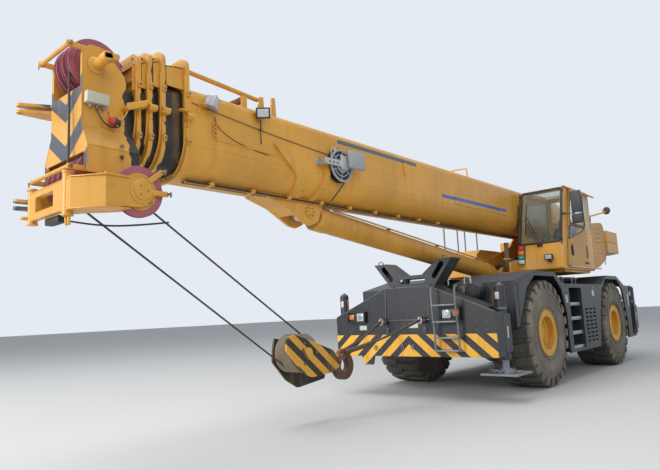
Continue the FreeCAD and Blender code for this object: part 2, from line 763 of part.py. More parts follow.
def cab_interior():
    """Seat, floor console and steering column."""
    x = (cab_in + cab_out) / 2
    floor = bed_top + cab_wall
    seat = prism([(650, 2480), (650, 2620, 60), (1000, 2620, 20), (1080, 3250, 60), (1200, 3250, 60),
                  (1150, 2480)], "yz", x - 240, x + 240)
    base = block((x - 180, x + 180), (720, 1120), (floor, 2480))
    socket = block((x - 60, x + 60), (0, 120), (floor, 2200))
    console = prism([(-350, floor), (-330, 2560, 40), (-120, 2640, 40), (-40, floor)], "yz",
                    cab_in + 100, cab_out - 120)
    hub = V(x, 234, 2830)
    lean = V(0, 174, 640).normalize()
    column = Part.makeCylinder(40, 655, hub - lean * 650, lean)
    wheel = Part.makeCylinder(wheel_radius, wheel_rim, hub, lean)
    wheel = wheel.cut(Part.makeCylinder(wheel_radius - wheel_rim, 3 * wheel_rim, hub - lean * wheel_rim, lean))
    spoke = rod((x - wheel_radius + 10, 236, 2840), (x + wheel_radius - 10, 236, 2840), 11)
    return apart([join([seat, base]), console, join([socket, column, wheel, spoke])])


def door_outline(inset):
    i = inset
    return [(-275 + i, door_low + i, 30), (-165 + i, 2680, 40), (160 + i, door_high - i, 60),
            (985 - i, door_high - i, 40), (985 - i, door_low + i, 30)]


door_windows = (
    [(-20, 3105, 30), (165, 3780, 50), (920, 3780, 50), (920, 3105, 30)],
    [(-160, 2760, 30), (-55, 3050, 30), (880, 3050, 20), (700, 2985, 60)],
)
door_x = cab_out + door_gap


def cab_door():
    body = prism(door_outline(0), "yz", door_x, door_x + door_plate)
    for window in door_windows:
        body = body.cut(prism(window, "yz", door_x - 10, door_x + door_plate + 10))
    handle = block((door_x + door_plate, door_x + door_plate + 25), (-60, -30), (2420, 2620))
    return join([body, handle])


def door_glass():
    low = door_x + door_plate - glass_plate - 4
    return apart([prism(window, "yz", low, low + glass_plate) for window in door_windows])


def door_rails():
    """Top and bottom runners on the cab's side that carry the sliding door."""
    rails = []
    for low in (door_low - seat_gap - door_rail, door_high + seat_gap):
        rails.append(block((cab_out, door_x + door_plate), (-200, 1850), (low, low + door_rail)))
    return rails


def rear_cover():
    """Bodywork behind the cab over the hydraulics."""
    outline = [(cab_rear, 2180), (cab_rear, 3230), (2280, 3310, 220), (2460, 3240, 120), (2440, 2430, 80),
               (1900, 2250, 200)]
    body = prism(outline, "yz", 520, cab_out)
    for row in range(4):
        z = 2790 + row * 110
        body = body.cut(block((cab_out - 8, cab_out + 10), (1700, 2150), (z, z + 26)))
    return body


def valve_box():
    """Hydraulic tank and valve bank on the side away from the cab."""
    outline = [(-560, bed_top), (-560, 2600, 50), (-350, 2720, 50), (1750, 2720, 50), (1750, bed_top)]
    return prism(outline, "yz", -1360, -cheek_x - cheek_plate)


def mirrors():
    """Door mirror pair on the front pillar's arm, and the tail mirror on its long arm."""
    foot = block((cab_out, cab_out + 20), (-245, -185), (3170, 3230))
    arm = rod((cab_out + 15, -215, 3200), (1548, -10, 3195), 12)
    big = block((1520, 1690), (-40, 20), (3230, 3650))
    small = block((1520, 1690), (-40, 20), (2990, 3160))
    post = rod((1548, -10, 3020), (1548, -10, 3600), 16)
    front = join([foot, arm, big, small, post])
    tail = join([block((1310, 1370), (cab_rear, cab_rear + 15), (3350, 3410)),
                 rod((1340, cab_rear + 8, 3380), (1360, 2950, 3640), 20),
                 lathe([(-20, 0), (-20, 95), (20, 95), (20, 0)], (1370, 3000, 3690))])
    return apart([front, tail])


# Boom
def section_profile(half, top, bottom, y_low, y_high):
    """Boom section: flat top, upright sides and a bottom rolled to a U."""
    bend = boom_bend + half - boom_half
    return prism([(-half, bottom, bend), (half, bottom, bend), (half, top, boom_corner),
                  (-half, top, boom_corner)], "xz", y_low, y_high)


def section_size(index):
    inset = index * boom_step
    return boom_half - inset, boom_top - inset, boom_bottom + inset


def section_tube(index, front, rear):
    half, top, bottom = section_size(index)
    outer = section_profile(half, top, bottom, front, rear)
    wall = boom_wall
    return outer.cut(section_profile(half - wall, top - wall, bottom + wall, front - 10, rear + 10))


def collar(index):
    """Mouth of a section: a tall end plate round the next section, its hood and its bottom pads."""
    half, top, bottom = section_size(index)
    next_half, next_top, next_bottom = section_size(index + 1)
    front = collar_fronts[index]
    ahead = collar_fronts[index + 1] if index < 3 else head_rear - collar_plate
    hood_front = ahead + collar_plate + 2 * side_gap
    plate = section_profile(half + collar_rim, top + collar_fins[index], bottom - collar_rim, front, front + collar_plate)
    hood = [block((-half + 20, half - 20), (hood_front, front + 1), (top + 45, top + 75))]
    for side in (-1, 1):
        x = sorted((side * (half - 20), side * (half - 8)))
        hood.append(block(x, (hood_front, front + 1), (top - 60, top + 75)))
    mouth = section_profile(next_half + side_gap, next_top + side_gap, next_bottom - side_gap,
                            front - 300, front + collar_plate + 10)
    body = join([plate] + hood).cut(mouth)
    seat = section_profile(next_half + seat_gap, next_top + seat_gap, next_bottom - seat_gap,
                           front - 10, front + collar_plate + 10)
    pads = []
    for side in (-1, 1):
        x = sorted((side * 20, side * next_half * 0.35))
        pad = block(x, (front, front + collar_plate), (bottom - 10, next_bottom + 10))
        pads.append(pad.cut(seat))
    return join([body] + pads)


def boom_base():
    tube = section_tube(0, collar_fronts[0] + 5, boom_rear)
    half, top, bottom = section_size(0)
    boss = rod((-cheek_x + seat_gap, foot_y, foot_z), (cheek_x - seat_gap, foot_y, foot_z), foot_boss_radius)
    bore = rod((-cheek_x, foot_y, foot_z), (cheek_x, foot_y, foot_z), foot_pin_radius + seat_gap)
    trim = prism([(2380, top + 20), (boom_rear + 20, top - 260), (boom_rear + 20, top + 20)], "yz", -500, 500)
    body = join([tube.cut(trim), collar(0), boss]).cut(bore)
    return join([body] + lift_bracket())


def lift_bracket():
    """Ribs bent round the boom's lower half, and the keel plates below it that hold the rod's eye."""
    reach = (rib_outlines[0][0][0] - 100, lift_eye_y + 400)
    room = section_profile(boom_half - 1, boom_top, boom_bottom + 1, *reach)
    around = section_profile(boom_half + rib_plate, boom_top, boom_bottom - rib_plate, *reach).cut(room)
    pieces = [around.common(prism(outline, "yz", -600, 600)) for outline in rib_outlines]
    eye_y, eye_z = lift_eye_y, lift_eye_z
    keel = [(eye_y - 840, boom_bottom + 65), (eye_y - 840, boom_bottom - 10), (eye_y - 480, eye_z + 38),
            (eye_y - 100, eye_z - 162, 60), (eye_y + 40, eye_z - 182, 60), (eye_y + 170, eye_z - 122, 60),
            (eye_y + 260, eye_z + 68), (eye_y + 260, boom_bottom + 65)]
    ear_low = lift_eye_half + side_gap
    ear_high = ear_low + lift_ear_plate
    for side in (-1, 1):
        pieces.append(prism(keel, "yz", *sorted((side * ear_low, side * ear_high))).cut(room))
        pieces.append(rod((side * ear_high, eye_y, eye_z), (side * (ear_high + 25), eye_y, eye_z), 80))
    floor = [(eye_y - 830, boom_bottom - 10), (eye_y - 480, eye_z + 40), (eye_y - 280, eye_z - 65),
             (eye_y - 280, eye_z - 35), (eye_y - 475, eye_z + 70), (eye_y - 830, boom_bottom + 22)]
    pieces.append(prism(floor, "yz", -ear_low - 5, ear_low + 5).cut(room))
    return pieces


def boom_fittings():
    """Cable reel and its case, and the lamps on the boom's side."""
    core, flange = 60, reel_radius
    reel = lathe([(0, 0), (0, 50), (core, 50), (core, flange), (core + 15, flange), (core + 15, 60), (120, 60),
                  (120, flange), (135, flange), (135, 0)], (boom_half, reel_y, reel_z))
    case = block((boom_half, boom_half + 200), (reel_y + 150, reel_y + 370), (reel_z - 75, reel_z + 145))
    case = case.cut(rod((boom_half, reel_y, reel_z), (boom_half + 300, reel_y, reel_z), flange + 10))
    units = [reel, case]
    for y, z in boom_lamp_places:
        units.append(block((boom_half, boom_half + 150), (y - 60, y + 60), (z - 60, z + 60)))
    return apart(units)


def boom_section(index):
    tube = section_tube(index, collar_fronts[index] + 5, section_rear - 40 * index)
    return join([tube, collar(index)])


# Boom head
def head_outline():
    return [
        (head_front, 2830), (head_front, 4040, 90), (-9760, 4130, 90), (-9600, 4130, 120), (-9370, 3870, 60),
        (-9370, 3370), (head_rear, 3150), (head_rear, 2830), (-9520, 2830), (-9540, 2640, 60), (-9700, 2640, 60),
        (-9720, 2830),
    ]


def head():
    """Last section with its head: bent side plates, front plate, back plate and the lugs for the jib."""
    tube = section_tube(4, -9420, section_rear - 160)
    bend_top, bend_low = 3310, 3090
    strip = [
        (head_half - head_plate, 4140), (head_half, 4140), (head_half, bend_top), (skirt_half, bend_low),
        (skirt_half, 2600), (skirt_half - head_plate, 2600), (skirt_half - head_plate, bend_low - 10),
        (head_half - head_plate, bend_top - 10),
    ]
    side = prism(strip, "xz", head_front, head_rear).common(prism(head_outline(), "yz", 0, 600))
    face = prism([(-head_half, 3790), (head_half, 3790), (head_half, bend_top), (skirt_half, bend_low),
                  (skirt_half, 2850), (skirt_half - 60, 2850), (skirt_half - 60, 3030), (-skirt_half + 60, 3030),
                  (-skirt_half + 60, 2850), (-skirt_half, 2850), (-skirt_half, bend_low), (-head_half, bend_top)],
                 "xz", head_front, head_front + 20)
    back = prism([(-head_half, 3860), (head_half, 3860), (head_half, bend_top), (skirt_half, bend_low),
                  (skirt_half, 3060), (-skirt_half, 3060), (-skirt_half, bend_low), (-head_half, bend_top)],
                 "xz", -9420, -9400)
    half, top, bottom = section_size(4)
    room = section_profile(half - boom_wall, top - boom_wall, bottom + boom_wall, -9500, -9300)
    boss = rod((head_half - 5, -9690, 3930), (560, -9690, 3930), 52)
    sheave_room = rod((-head_half + head_plate, top_pin_y, top_pin_z), (head_half - head_plate, top_pin_y, top_pin_z),
                      top_sheave_radius + 10)
    body = join([tube, side, across(side), face, back.cut(room)]).cut(sheave_room)
    guard = [rod((-head_half, head_guard_y, head_guard_z), (head_half, head_guard_y, head_guard_z),
                 head_guard_radius)]
    for x in (-head_half, head_half - head_plate):
        guard.append(block((x, x + head_plate), (head_guard_y - 15, -9730),
                           (head_guard_z - 25, head_guard_z + 25)))
    return join([body, boss] + guard + jib_lugs())


def jib_lugs():
    """Two clevises with upright bores on the head's far side, where a jib is pinned."""
    lugs = []
    half_opening = jib_lug_opening / 2
    for z, root in jib_lug_places:
        outline = [(jib_lug_x - jib_lug_radius, jib_lug_tip), (jib_lug_x + jib_lug_radius, jib_lug_tip),
                   (root + 20, -9700), (root + 20, -9480), (jib_lug_x - jib_lug_radius, -9750)]
        for low in (z - half_opening - jib_lug_plate, z + half_opening):
            arm = prism(outline, "xy", low, low + jib_lug_plate)
            eye = Part.makeCylinder(jib_lug_radius, jib_lug_plate, V(jib_lug_x, jib_lug_tip, low))
            bore = Part.makeCylinder(jib_bore_radius, 2 * jib_lug_plate, V(jib_lug_x, jib_lug_tip, low - 15))
            lugs.append(arm.fuse(eye).cut(bore))
    lugs.append(block((-500, -skirt_half + 20), (-9700, -9560), (2600, 3000)))
    return lugs


def sheaves(places, y, z, radius, reach):
    """Sheaves with V grooves on one pin, turned as one: their middles, the pin's place and its half length."""
    half = sheave_width / 2 - 4
    outline = [(-reach, 0), (-reach, sheave_pin_radius)]
    for index, x in enumerate(places):
        abuts = index > 0 and x - places[index - 1] < sheave_width
        if abuts:
            outline.pop()
            outline.pop()
        low = (x + places[index - 1]) / 2 if abuts else x - half
        outline += [(low, radius)] if abuts else [(low, sheave_pin_radius), (low, radius)]
        outline += [(x, radius - sheave_groove), (x + half, radius), (x + half, sheave_pin_radius)]
    outline += [(reach, sheave_pin_radius), (reach, 0)]
    return lathe(outline, (0, y, z))


def head_sheaves():
    """Upper sheaves and the lower row, each with its pin between the side plates."""
    top = sheaves(top_sheaves, top_pin_y, top_pin_z, top_sheave_radius, head_half - head_plate)
    low = sheaves(low_sheaves, low_pin_y, low_pin_z, low_sheave_radius, skirt_half - head_plate)
    return apart([top, low])


def aux_nose():
    """Auxiliary nose folded round the head's lower front: frame, box, side plates and its sheave."""
    low, high = nose_low, nose_high
    bar = block((-430, 400), (nose_y, nose_y + 60), (low, high))
    bar = bar.cut(block((-280, 120), (nose_y - 10, nose_y + 70), (low + 70, high - 60)))
    posts = [rod((-420, nose_y + 30, low - 20), (-420, nose_y + 30, high + 30), 45),
             rod((360, nose_y + 30, low - 40), (360, nose_y + 30, high + 60), 48)]
    stays = []
    for side in (-1, 1):
        x = sorted((side * (skirt_half - head_plate - 50), side * (skirt_half - head_plate)))
        stays.append(block(x, (nose_y + 30, -9620), (low + 130, high)))
    pin_room = rod((-skirt_half, low_pin_y, low_pin_z), (skirt_half, low_pin_y, low_pin_z), sheave_pin_radius + 5)
    box = prism([(380, nose_y), (470, nose_y), (730, -9790), (730, -9640), (640, -9640), (600, -9760)], "xy",
                low, high)
    plates = []
    for x in nose_plates:
        plates.append(prism([(-9790, low), (-9790, high + 35), (nose_pin_y + 10, high + 15, 90),
                             (nose_pin_y + 110, nose_pin_z, 60), (nose_pin_y + 90, low + 60, 60),
                             (nose_pin_y, low + 20)], "yz", *x))
    inner, outer = nose_plates[0][0], nose_plates[1][1]
    middle = (nose_plates[0][1] + nose_plates[1][0]) / 2
    half = sheave_width / 2 - 4
    wheel = lathe([
        (inner + 10, 0), (inner + 10, nose_hub_radius), (middle - half, nose_hub_radius),
        (middle - half, nose_sheave_radius), (middle, nose_sheave_radius - sheave_groove),
        (middle + half, nose_sheave_radius), (middle + half, nose_hub_radius), (outer - 2, nose_hub_radius),
        (outer - 2, nose_hub_radius + 30), (outer + 14, nose_hub_radius + 30), (outer + 14, 0)],
        (0, nose_pin_y, nose_pin_z))
    return join([bar, box] + posts + [stay.cut(pin_room) for stay in stays] + plates + [wheel])


# Lift cylinder
def lift_axis():
    foot = V(0, lift_foot_y, lift_foot_z)
    along = V(0, lift_eye_y - lift_foot_y, lift_eye_z - lift_foot_z)
    length = along.Length
    return foot, along.normalize(), length


def lift_barrel():
    foot, along, length = lift_axis()
    start = lift_neck - 20
    body = Part.makeCylinder(lift_barrel_radius, length - lift_head_gap - start, foot + along * start, along)
    neck = Part.makeCylinder(lift_foot_radius - 8, lift_neck, foot, along)
    eye = rod((-lift_eye_half, foot.y, foot.z), (lift_eye_half, foot.y, foot.z), lift_foot_radius)
    pin = rod((-lift_eye_half - 10, foot.y, foot.z), (lift_eye_half + 10, foot.y, foot.z),
              lift_pin_radius + seat_gap)
    bore = Part.makeCylinder(lift_rod_radius + seat_gap, length, foot + along * (lift_neck + 40), along)
    return join([body, neck, eye]).cut(bore).cut(pin)


def lift_rod():
    foot, along, length = lift_axis()
    start = lift_neck + 60
    shaft = Part.makeCylinder(lift_rod_radius, length - start - lift_eye_radius / 2, foot + along * start, along)
    tip = foot + along * length
    eye = rod((-lift_eye_half, tip.y, tip.z), (lift_eye_half, tip.y, tip.z), lift_eye_radius)
    return join([shaft, eye])


# Hook block and its falls
def from_block(points):
    """Points given from the block's sheave pin, as the block is held by its slings."""
    return [(block_y + point[0], block_z + point[1]) + tuple(point[2:]) for point in points]


def hook_block():
    """Block with its cheek plates, sheaves and crosshead; the far plate has a deeper belly."""
    near = [(-385, 60), (-380, 205, 50), (-240, 250, 60), (30, 165), (500, 0, 60), (630, -225, 50), (430, -290),
            (60, -310, 80), (-90, -240)]
    far = [(-235, 60), (-250, -100, 80), (-10, -360, 60), (200, -480, 80), (780, -410, 40), (500, 0), (30, 165),
           (-200, 200)]
    pieces = [prism(from_block(near), "yz", block_half, block_half + block_plate),
              prism(from_block(far), "yz", -block_half - block_plate, -block_half),
              sheaves(block_sheaves, block_y, block_z, block_sheave_radius, block_half + 1)]
    front, rear = crosshead_y - crosshead_half, crosshead_y + crosshead_half
    cross = from_block([(front, crosshead_z - 80), (front, crosshead_z + 80), (rear, crosshead_z + 60),
                        (rear, crosshead_z - 80)])
    pieces.append(prism(cross, "yz", -block_half - 1, block_half + 1))
    return join(pieces)


def hook():
    """Single hook with its shank in the block's crosshead."""
    y, z = block_y + hook_y, block_z + hook_z
    level = block_z + crosshead_z - 10
    shank = rod((0, block_y + crosshead_y + crosshead_half, level), (0, y - hook_throat + 5, level), shank_radius)
    bowl = lathe([(-hook_half, hook_throat), (-hook_half, hook_radius), (hook_half, hook_radius),
                  (hook_half, hook_throat)], (0, y, z))
    mouth = block((-2 * hook_half, 2 * hook_half), (y - hook_throat + 20, y + 60), (z, z + hook_radius + 10))
    return join([shank, bowl.cut(mouth)])


def rope_depth(groove_half):
    """Depth of a rope's centre below the rim when it lies on both flanks of a groove."""
    flank = math.atan(groove_half / sheave_groove)
    return sheave_groove * (1 - (rope_radius + seat_gap) / (groove_half * math.cos(flank)))


def hoist_falls():
    """Ropes between the head's lower sheaves and the block's sheaves, one along each side of them."""
    head_pin = V(0, low_pin_y, low_pin_z)
    block_pin = V(0, block_y, block_z)
    along = (block_pin - head_pin).normalize()
    square = V(0, -along.z, along.y)
    falls = []
    for x, side in fall_sheaves:
        start = head_pin + square * side * (low_sheave_radius - rope_depth(sheave_width / 2 - 4))
        end = block_pin + square * side * (block_sheave_radius - rope_depth((block_sheaves[1] - block_sheaves[0]) / 2))
        falls.append(rod((x, start.y, start.z), (x, end.y, end.z), rope_radius))
    return apart(falls)


# Name, side, end, and whether its jack has kept its float
corners = (("fl", 1, -1, True), ("fr", -1, -1, False), ("rl", 1, 1, False), ("rr", -1, 1, True))
for corner, side, end, has_float in corners:
    wheel_x, wheel_y = side * track_half, end * half_wheelbase
    save(f"tyre_{corner}", tyre(wheel_x, wheel_y))
    save(f"rim_{corner}", rim(wheel_x, wheel_y, side))
    save(f"knuckle_{corner}", knuckle(wheel_x, wheel_y, side))
    box_y = front_box_y if end < 0 else rear_box_y
    channel = 1 if side > 0 else 0
    save(f"beam_{corner}", beam(box_y, channel, side))
    save(f"jack_{corner}", jack(box_y, channel, side, has_float))

save("frame", frame())
save("front_axle", axle(-half_wheelbase, 1))
save("rear_axle", axle(half_wheelbase, -1))
save("slew_ring", slew_ring())
save("deck", deck())
save("side_skirts", side_skirts())
save("side_steps", side_steps())
save("side_box", side_box())
save("front_box", outrigger_box(front_box_y))
save("rear_box", outrigger_box(rear_box_y))
save("front_cover", front_cover())
save("boom_rest", boom_rest())
save("ladder", ladder())
save("lamps", lamps())
save("engine", engine())
save("engine_hood", engine_hood())
save("turntable", turntable())
save("counterweight", counterweight())
save("winches", winches())
save("cab_shell", join([cab_shell()] + door_rails()))
save("cab_glass", cab_glass())
save("cab_interior", cab_interior())
save("rear_cover", rear_cover())
save("valve_box", valve_box())
save("mirrors", mirrors())
save("cab_door", cab_door())
save("door_glass", door_glass())
save("boom_base", boom_base())
save("boom_fittings", boom_fittings())
for index, name in ((1, "boom_2"), (2, "boom_3"), (3, "boom_4")):
    save(name, boom_section(index))
save("boom_head", head())
save("head_sheaves", head_sheaves())
save("aux_nose", aux_nose())
save("lift_barrel", lift_barrel())
save("lift_rod", lift_rod())
save("hook_block", hook_block())
save("hook", hook())
save("hoist_falls", hoist_falls())
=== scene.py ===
import math

import bpy
from mathutils import Matrix, Vector


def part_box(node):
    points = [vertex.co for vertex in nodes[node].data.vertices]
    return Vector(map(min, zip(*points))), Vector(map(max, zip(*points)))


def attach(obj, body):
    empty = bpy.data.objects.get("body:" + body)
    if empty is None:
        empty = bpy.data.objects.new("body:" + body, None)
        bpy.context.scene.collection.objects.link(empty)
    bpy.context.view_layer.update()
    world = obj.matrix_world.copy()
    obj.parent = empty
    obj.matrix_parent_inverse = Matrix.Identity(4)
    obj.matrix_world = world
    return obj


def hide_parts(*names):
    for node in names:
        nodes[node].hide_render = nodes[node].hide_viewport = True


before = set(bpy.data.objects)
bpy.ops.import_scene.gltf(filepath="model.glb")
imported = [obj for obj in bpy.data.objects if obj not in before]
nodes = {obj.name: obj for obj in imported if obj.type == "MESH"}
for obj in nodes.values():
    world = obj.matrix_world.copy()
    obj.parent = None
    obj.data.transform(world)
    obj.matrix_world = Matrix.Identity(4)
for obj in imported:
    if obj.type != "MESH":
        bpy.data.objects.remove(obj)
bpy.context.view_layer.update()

scene = bpy.context.scene
bpy.ops.object.select_all(action="DESELECT")

# Camera
# It stands at eye height ahead of the machine's left front corner and looks slightly up, as the photograph
# does. Its place, and every other place below, is given in metres from the middle of the wheelbase.
tyre_low, tyre_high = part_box("tyre_fl")
rear_low, rear_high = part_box("tyre_rl")
wheelbase_middle = (tyre_low.y + tyre_high.y + rear_low.y + rear_high.y) / 4
eye = Vector((5.399, wheelbase_middle - 12.153, 1.435))
bpy.ops.object.camera_add(location=eye, rotation=[math.radians(a) for a in (97.97, 2.645, 41.626)])
camera = bpy.context.object
camera.data.lens = 30.87
camera.data.sensor_width = 36.0
camera.data.clip_end = 200.0
scene.camera = camera

# Floor and light
# A wide pale floor under a large soft light overhead, a second one ahead of the machine and a weak one from
# its left. The surround is a pale sky that the camera and the reflections see brighter than the machine does.
scene.view_settings.view_transform = "Standard"
bpy.ops.mesh.primitive_plane_add(size=240.0)
floor = bpy.context.object
floor.name = "floor"
floor_paint = bpy.data.materials.new("floor_paint")
floor_paint.use_nodes = True
floor_shader = floor_paint.node_tree.nodes["Principled BSDF"]
floor_shader.inputs["Base Color"].default_value = (0.6, 0.6, 0.59, 1.0)
floor_shader.inputs["Roughness"].default_value = 0.9
floor.data.materials.append(floor_paint)
for name, place, size, power in (("sky_light", (-2.0, -6.0, 20.0), 16.0, 2500.0),
        ("front_light", (-7.0, -24.0, 9.0), 10.0, 3600.0), ("side_light", (18.0, -12.0, 10.0), 10.0,
        1000.0)):
    bpy.ops.object.light_add(type="AREA", location=place)
    lamp = bpy.context.object
    lamp.name = name
    lamp.data.size = size
    lamp.data.energy = power
    lamp.rotation_euler = (Vector((0.0, 0.0, 1.5)) - Vector(place)).to_track_quat("-Z", "Y").to_euler()
surround = bpy.data.worlds.new("surround")
scene.world = surround
surround.use_nodes = True
sky = surround.node_tree
sky_shade = sky.nodes["Background"]
sky_shade.inputs["Color"].default_value = (0.78, 0.83, 0.9, 1.0)
seen = sky.nodes.new("ShaderNodeLightPath")
seen_any = sky.nodes.new("ShaderNodeMath")
seen_any.operation = "MAXIMUM"
sky.links.new(seen.outputs["Is Camera Ray"], seen_any.inputs[0])
sky.links.new(seen.outputs["Is Transmission Ray"], seen_any.inputs[1])
seen_or_shine = sky.nodes.new("ShaderNodeMath")
seen_or_shine.operation = "MAXIMUM"
sky.links.new(seen_any.outputs[0], seen_or_shine.inputs[0])
sky.links.new(seen.outputs["Is Glossy Ray"], seen_or_shine.inputs[1])
sky_strength = sky.nodes.new("ShaderNodeMapRange")
sky_strength.inputs["To Min"].default_value = 0.5
sky_strength.inputs["To Max"].default_value = 1.0
sky.links.new(seen_or_shine.outputs[0], sky_strength.inputs["Value"])
sky.links.new(sky_strength.outputs["Result"], sky_shade.inputs["Strength"])


# Sprayed paint
# Most of the machine is steel under sprayed paint. Its tone drifts a little, dust lies on what faces up, rain
# has run it down in streaks, and the edges are dulled. The same recipe makes the other coated finishes.
def link_or_set(tree, value, socket):
    if hasattr(value, "is_output"):
        tree.links.new(value, socket)
    else:
        socket.default_value = value


def maths(tree, operation, *values):
    step = tree.nodes.new("ShaderNodeMath")
    step.operation = operation
    for index, value in enumerate(values):
        link_or_set(tree, value, step.inputs[index])
    return step.outputs[0]


def over(tree, share, under, above):
    """Colour `above` laid on colour `under` by a share from 0 to 1."""
    mix = tree.nodes.new("ShaderNodeMix")
    mix.data_type = "RGBA"
    link_or_set(tree, share, mix.inputs[0])
    link_or_set(tree, under, mix.inputs[6])
    link_or_set(tree, above, mix.inputs[7])
    return mix.outputs[2]


def speckle(tree, scale, detail=4.0, stretch=(1.0, 1.0, 1.0)):
    """Noise on object coordinates, stretched along an axis for streaks."""
    place = tree.nodes.new("ShaderNodeTexCoord")
    turned = tree.nodes.new("ShaderNodeMapping")
    turned.inputs["Scale"].default_value = stretch
    tree.links.new(place.outputs["Object"], turned.inputs["Vector"])
    noise = tree.nodes.new("ShaderNodeTexNoise")
    noise.inputs["Scale"].default_value = scale
    noise.inputs["Detail"].default_value = detail
    tree.links.new(turned.outputs["Vector"], noise.inputs["Vector"])
    return noise.outputs[0]


def ramp(tree, value, low, high, to_low=0.0, to_high=1.0):
    spread = tree.nodes.new("ShaderNodeMapRange")
    link_or_set(tree, value, spread.inputs["Value"])
    for name, number in (("From Min", low), ("From Max", high), ("To Min", to_low), ("To Max", to_high)):
        spread.inputs[name].default_value = number
    return spread.outputs["Result"]


def coordinates(tree):
    """The place on the machine, as three numbers."""
    place = tree.nodes.new("ShaderNodeTexCoord")
    parts = tree.nodes.new("ShaderNodeSeparateXYZ")
    tree.links.new(place.outputs["Object"], parts.inputs["Vector"])
    return parts.outputs["X"], parts.outputs["Y"], parts.outputs["Z"]


def facing(tree, axis):
    """How far the surface faces along an axis."""
    surface = tree.nodes.new("ShaderNodeNewGeometry")
    parts = tree.nodes.new("ShaderNodeSeparateXYZ")
    tree.links.new(surface.outputs["Normal"], parts.inputs["Vector"])
    return parts.outputs[axis]


def coat(name, colour, dust=0.3, rough=0.45, grime=0.35, edges=0.25, marks=(), metal=0.0, soft_edge=0.006,
        dust_colour=(0.36, 0.33, 0.28, 1.0)):
    """Coated steel: marks are (colour, function that gives where the mark lies) pairs under the dust."""
    finish = bpy.data.materials.new(name)
    finish.use_nodes = True
    tree = finish.node_tree
    shader = tree.nodes["Principled BSDF"]
    drift = speckle(tree, 0.9, 5.0)
    fine = speckle(tree, 26.0, 6.0)
    runs = speckle(tree, 3.0, 5.0, (2.6, 2.6, 0.22))
    deep = tuple(c * 0.8 for c in colour[:3]) + (1.0,)
    tone = over(tree, ramp(tree, drift, 0.35, 0.65), deep, colour)
    for mark_colour, lies in marks:
        tone = over(tree, lies(tree), tone, mark_colour)
    dark = maths(tree, "MULTIPLY", ramp(tree, runs, 0.52, 0.75), grime)
    tone = over(tree, dark, tone, tuple(c * 0.45 for c in colour[:3]) + (1.0,))
    upward = ramp(tree, facing(tree, "Z"), 0.15, 0.9)
    loose = maths(tree, "MULTIPLY", upward, ramp(tree, speckle(tree, 2.2, 7.0), 0.3, 0.7, 0.35, 1.0))
    film = maths(tree, "MULTIPLY", ramp(tree, fine, 0.45, 0.75), 0.35)
    settled_dust = maths(tree, "MULTIPLY", maths(tree, "MAXIMUM", loose, film), dust)
    tone = over(tree, settled_dust, tone, dust_colour)
    bend = tree.nodes.new("ShaderNodeBevel")
    bend.samples = 4
    bend.inputs["Radius"].default_value = soft_edge
    surface = tree.nodes.new("ShaderNodeNewGeometry")
    meeting = tree.nodes.new("ShaderNodeVectorMath")
    meeting.operation = "DOT_PRODUCT"
    tree.links.new(bend.outputs["Normal"], meeting.inputs[0])
    tree.links.new(surface.outputs["Normal"], meeting.inputs[1])
    rim_share = maths(tree, "MULTIPLY", ramp(tree, meeting.outputs["Value"], 0.99, 0.8), edges)
    worn = maths(tree, "MULTIPLY", rim_share, ramp(tree, fine, 0.35, 0.65))
    tone = over(tree, worn, tone, tuple(min(1.0, 0.25 + c * 1.1) for c in colour[:3]) + (1.0,))
    tree.links.new(tone, shader.inputs["Base Color"])
    dull = maths(tree, "ADD", ramp(tree, fine, 0.3, 0.7, rough - 0.06, rough + 0.08),
        maths(tree, "MULTIPLY", settled_dust, 0.35))
    tree.links.new(dull, shader.inputs["Roughness"])
    shader.inputs["Metallic"].default_value = metal
    grain = tree.nodes.new("ShaderNodeBump")
    grain.inputs["Strength"].default_value = 0.12
    grain.inputs["Distance"].default_value = 0.002
    tree.links.new(fine, grain.inputs["Height"])
    tree.links.new(bend.outputs["Normal"], grain.inputs["Normal"])
    tree.links.new(grain.outputs["Normal"], shader.inputs["Normal"])
    return finish


def give(finish, *names):
    """Lay a finish on nodes that keep their own shape."""
    for name in names:
        for place in nodes[name].material_slots:
            place.material = finish


# Tyres
# Each tyre is a tubeless radial of black rubber, moulded with two rows of deep lugs, staggered by half a
# pitch, that run down over its shoulders. Its walls are brown with road dust and its lugs are scuffed darker.
lug_count = 24
wall_profile = ((0.3, 0.322), (0.318, 0.34), (0.318, 0.404), (0.334, 0.425), (0.352, 0.49), (0.366, 0.57),
    (0.372, 0.65), (0.37, 0.74), (0.358, 0.8), (0.335, 0.852), (0.3, 0.88), (0.15, 0.89))


def only(piece):
    bpy.ops.object.select_all(action="DESELECT")
    piece.select_set(True)
    bpy.context.view_layer.objects.active = piece
    return piece


def settled(piece, finish, edge=0.0, rounds=2):
    """Put a new piece's place and turn into its mesh, round its edges and give it its finish."""
    only(piece)
    bpy.ops.object.transform_apply(location=True, rotation=True, scale=True)
    if edge:
        bevel = piece.modifiers.new("edge", "BEVEL")
        bevel.width = edge
        bevel.segments = rounds
        bevel.limit_method = "ANGLE"
        bevel.angle_limit = math.radians(40)
        bpy.ops.object.modifier_apply(modifier="edge")
    piece.data.materials.clear()
    piece.data.materials.append(finish)
    return piece


def ring(points, filled=False):
    """A circle of vertices, put at the corners of an outline."""
    bpy.ops.mesh.primitive_circle_add(vertices=len(points), fill_type="NGON" if filled else "NOTHING")
    loop = bpy.context.object
    for vertex, point in zip(loop.data.vertices, points):
        vertex.co = point
    return loop


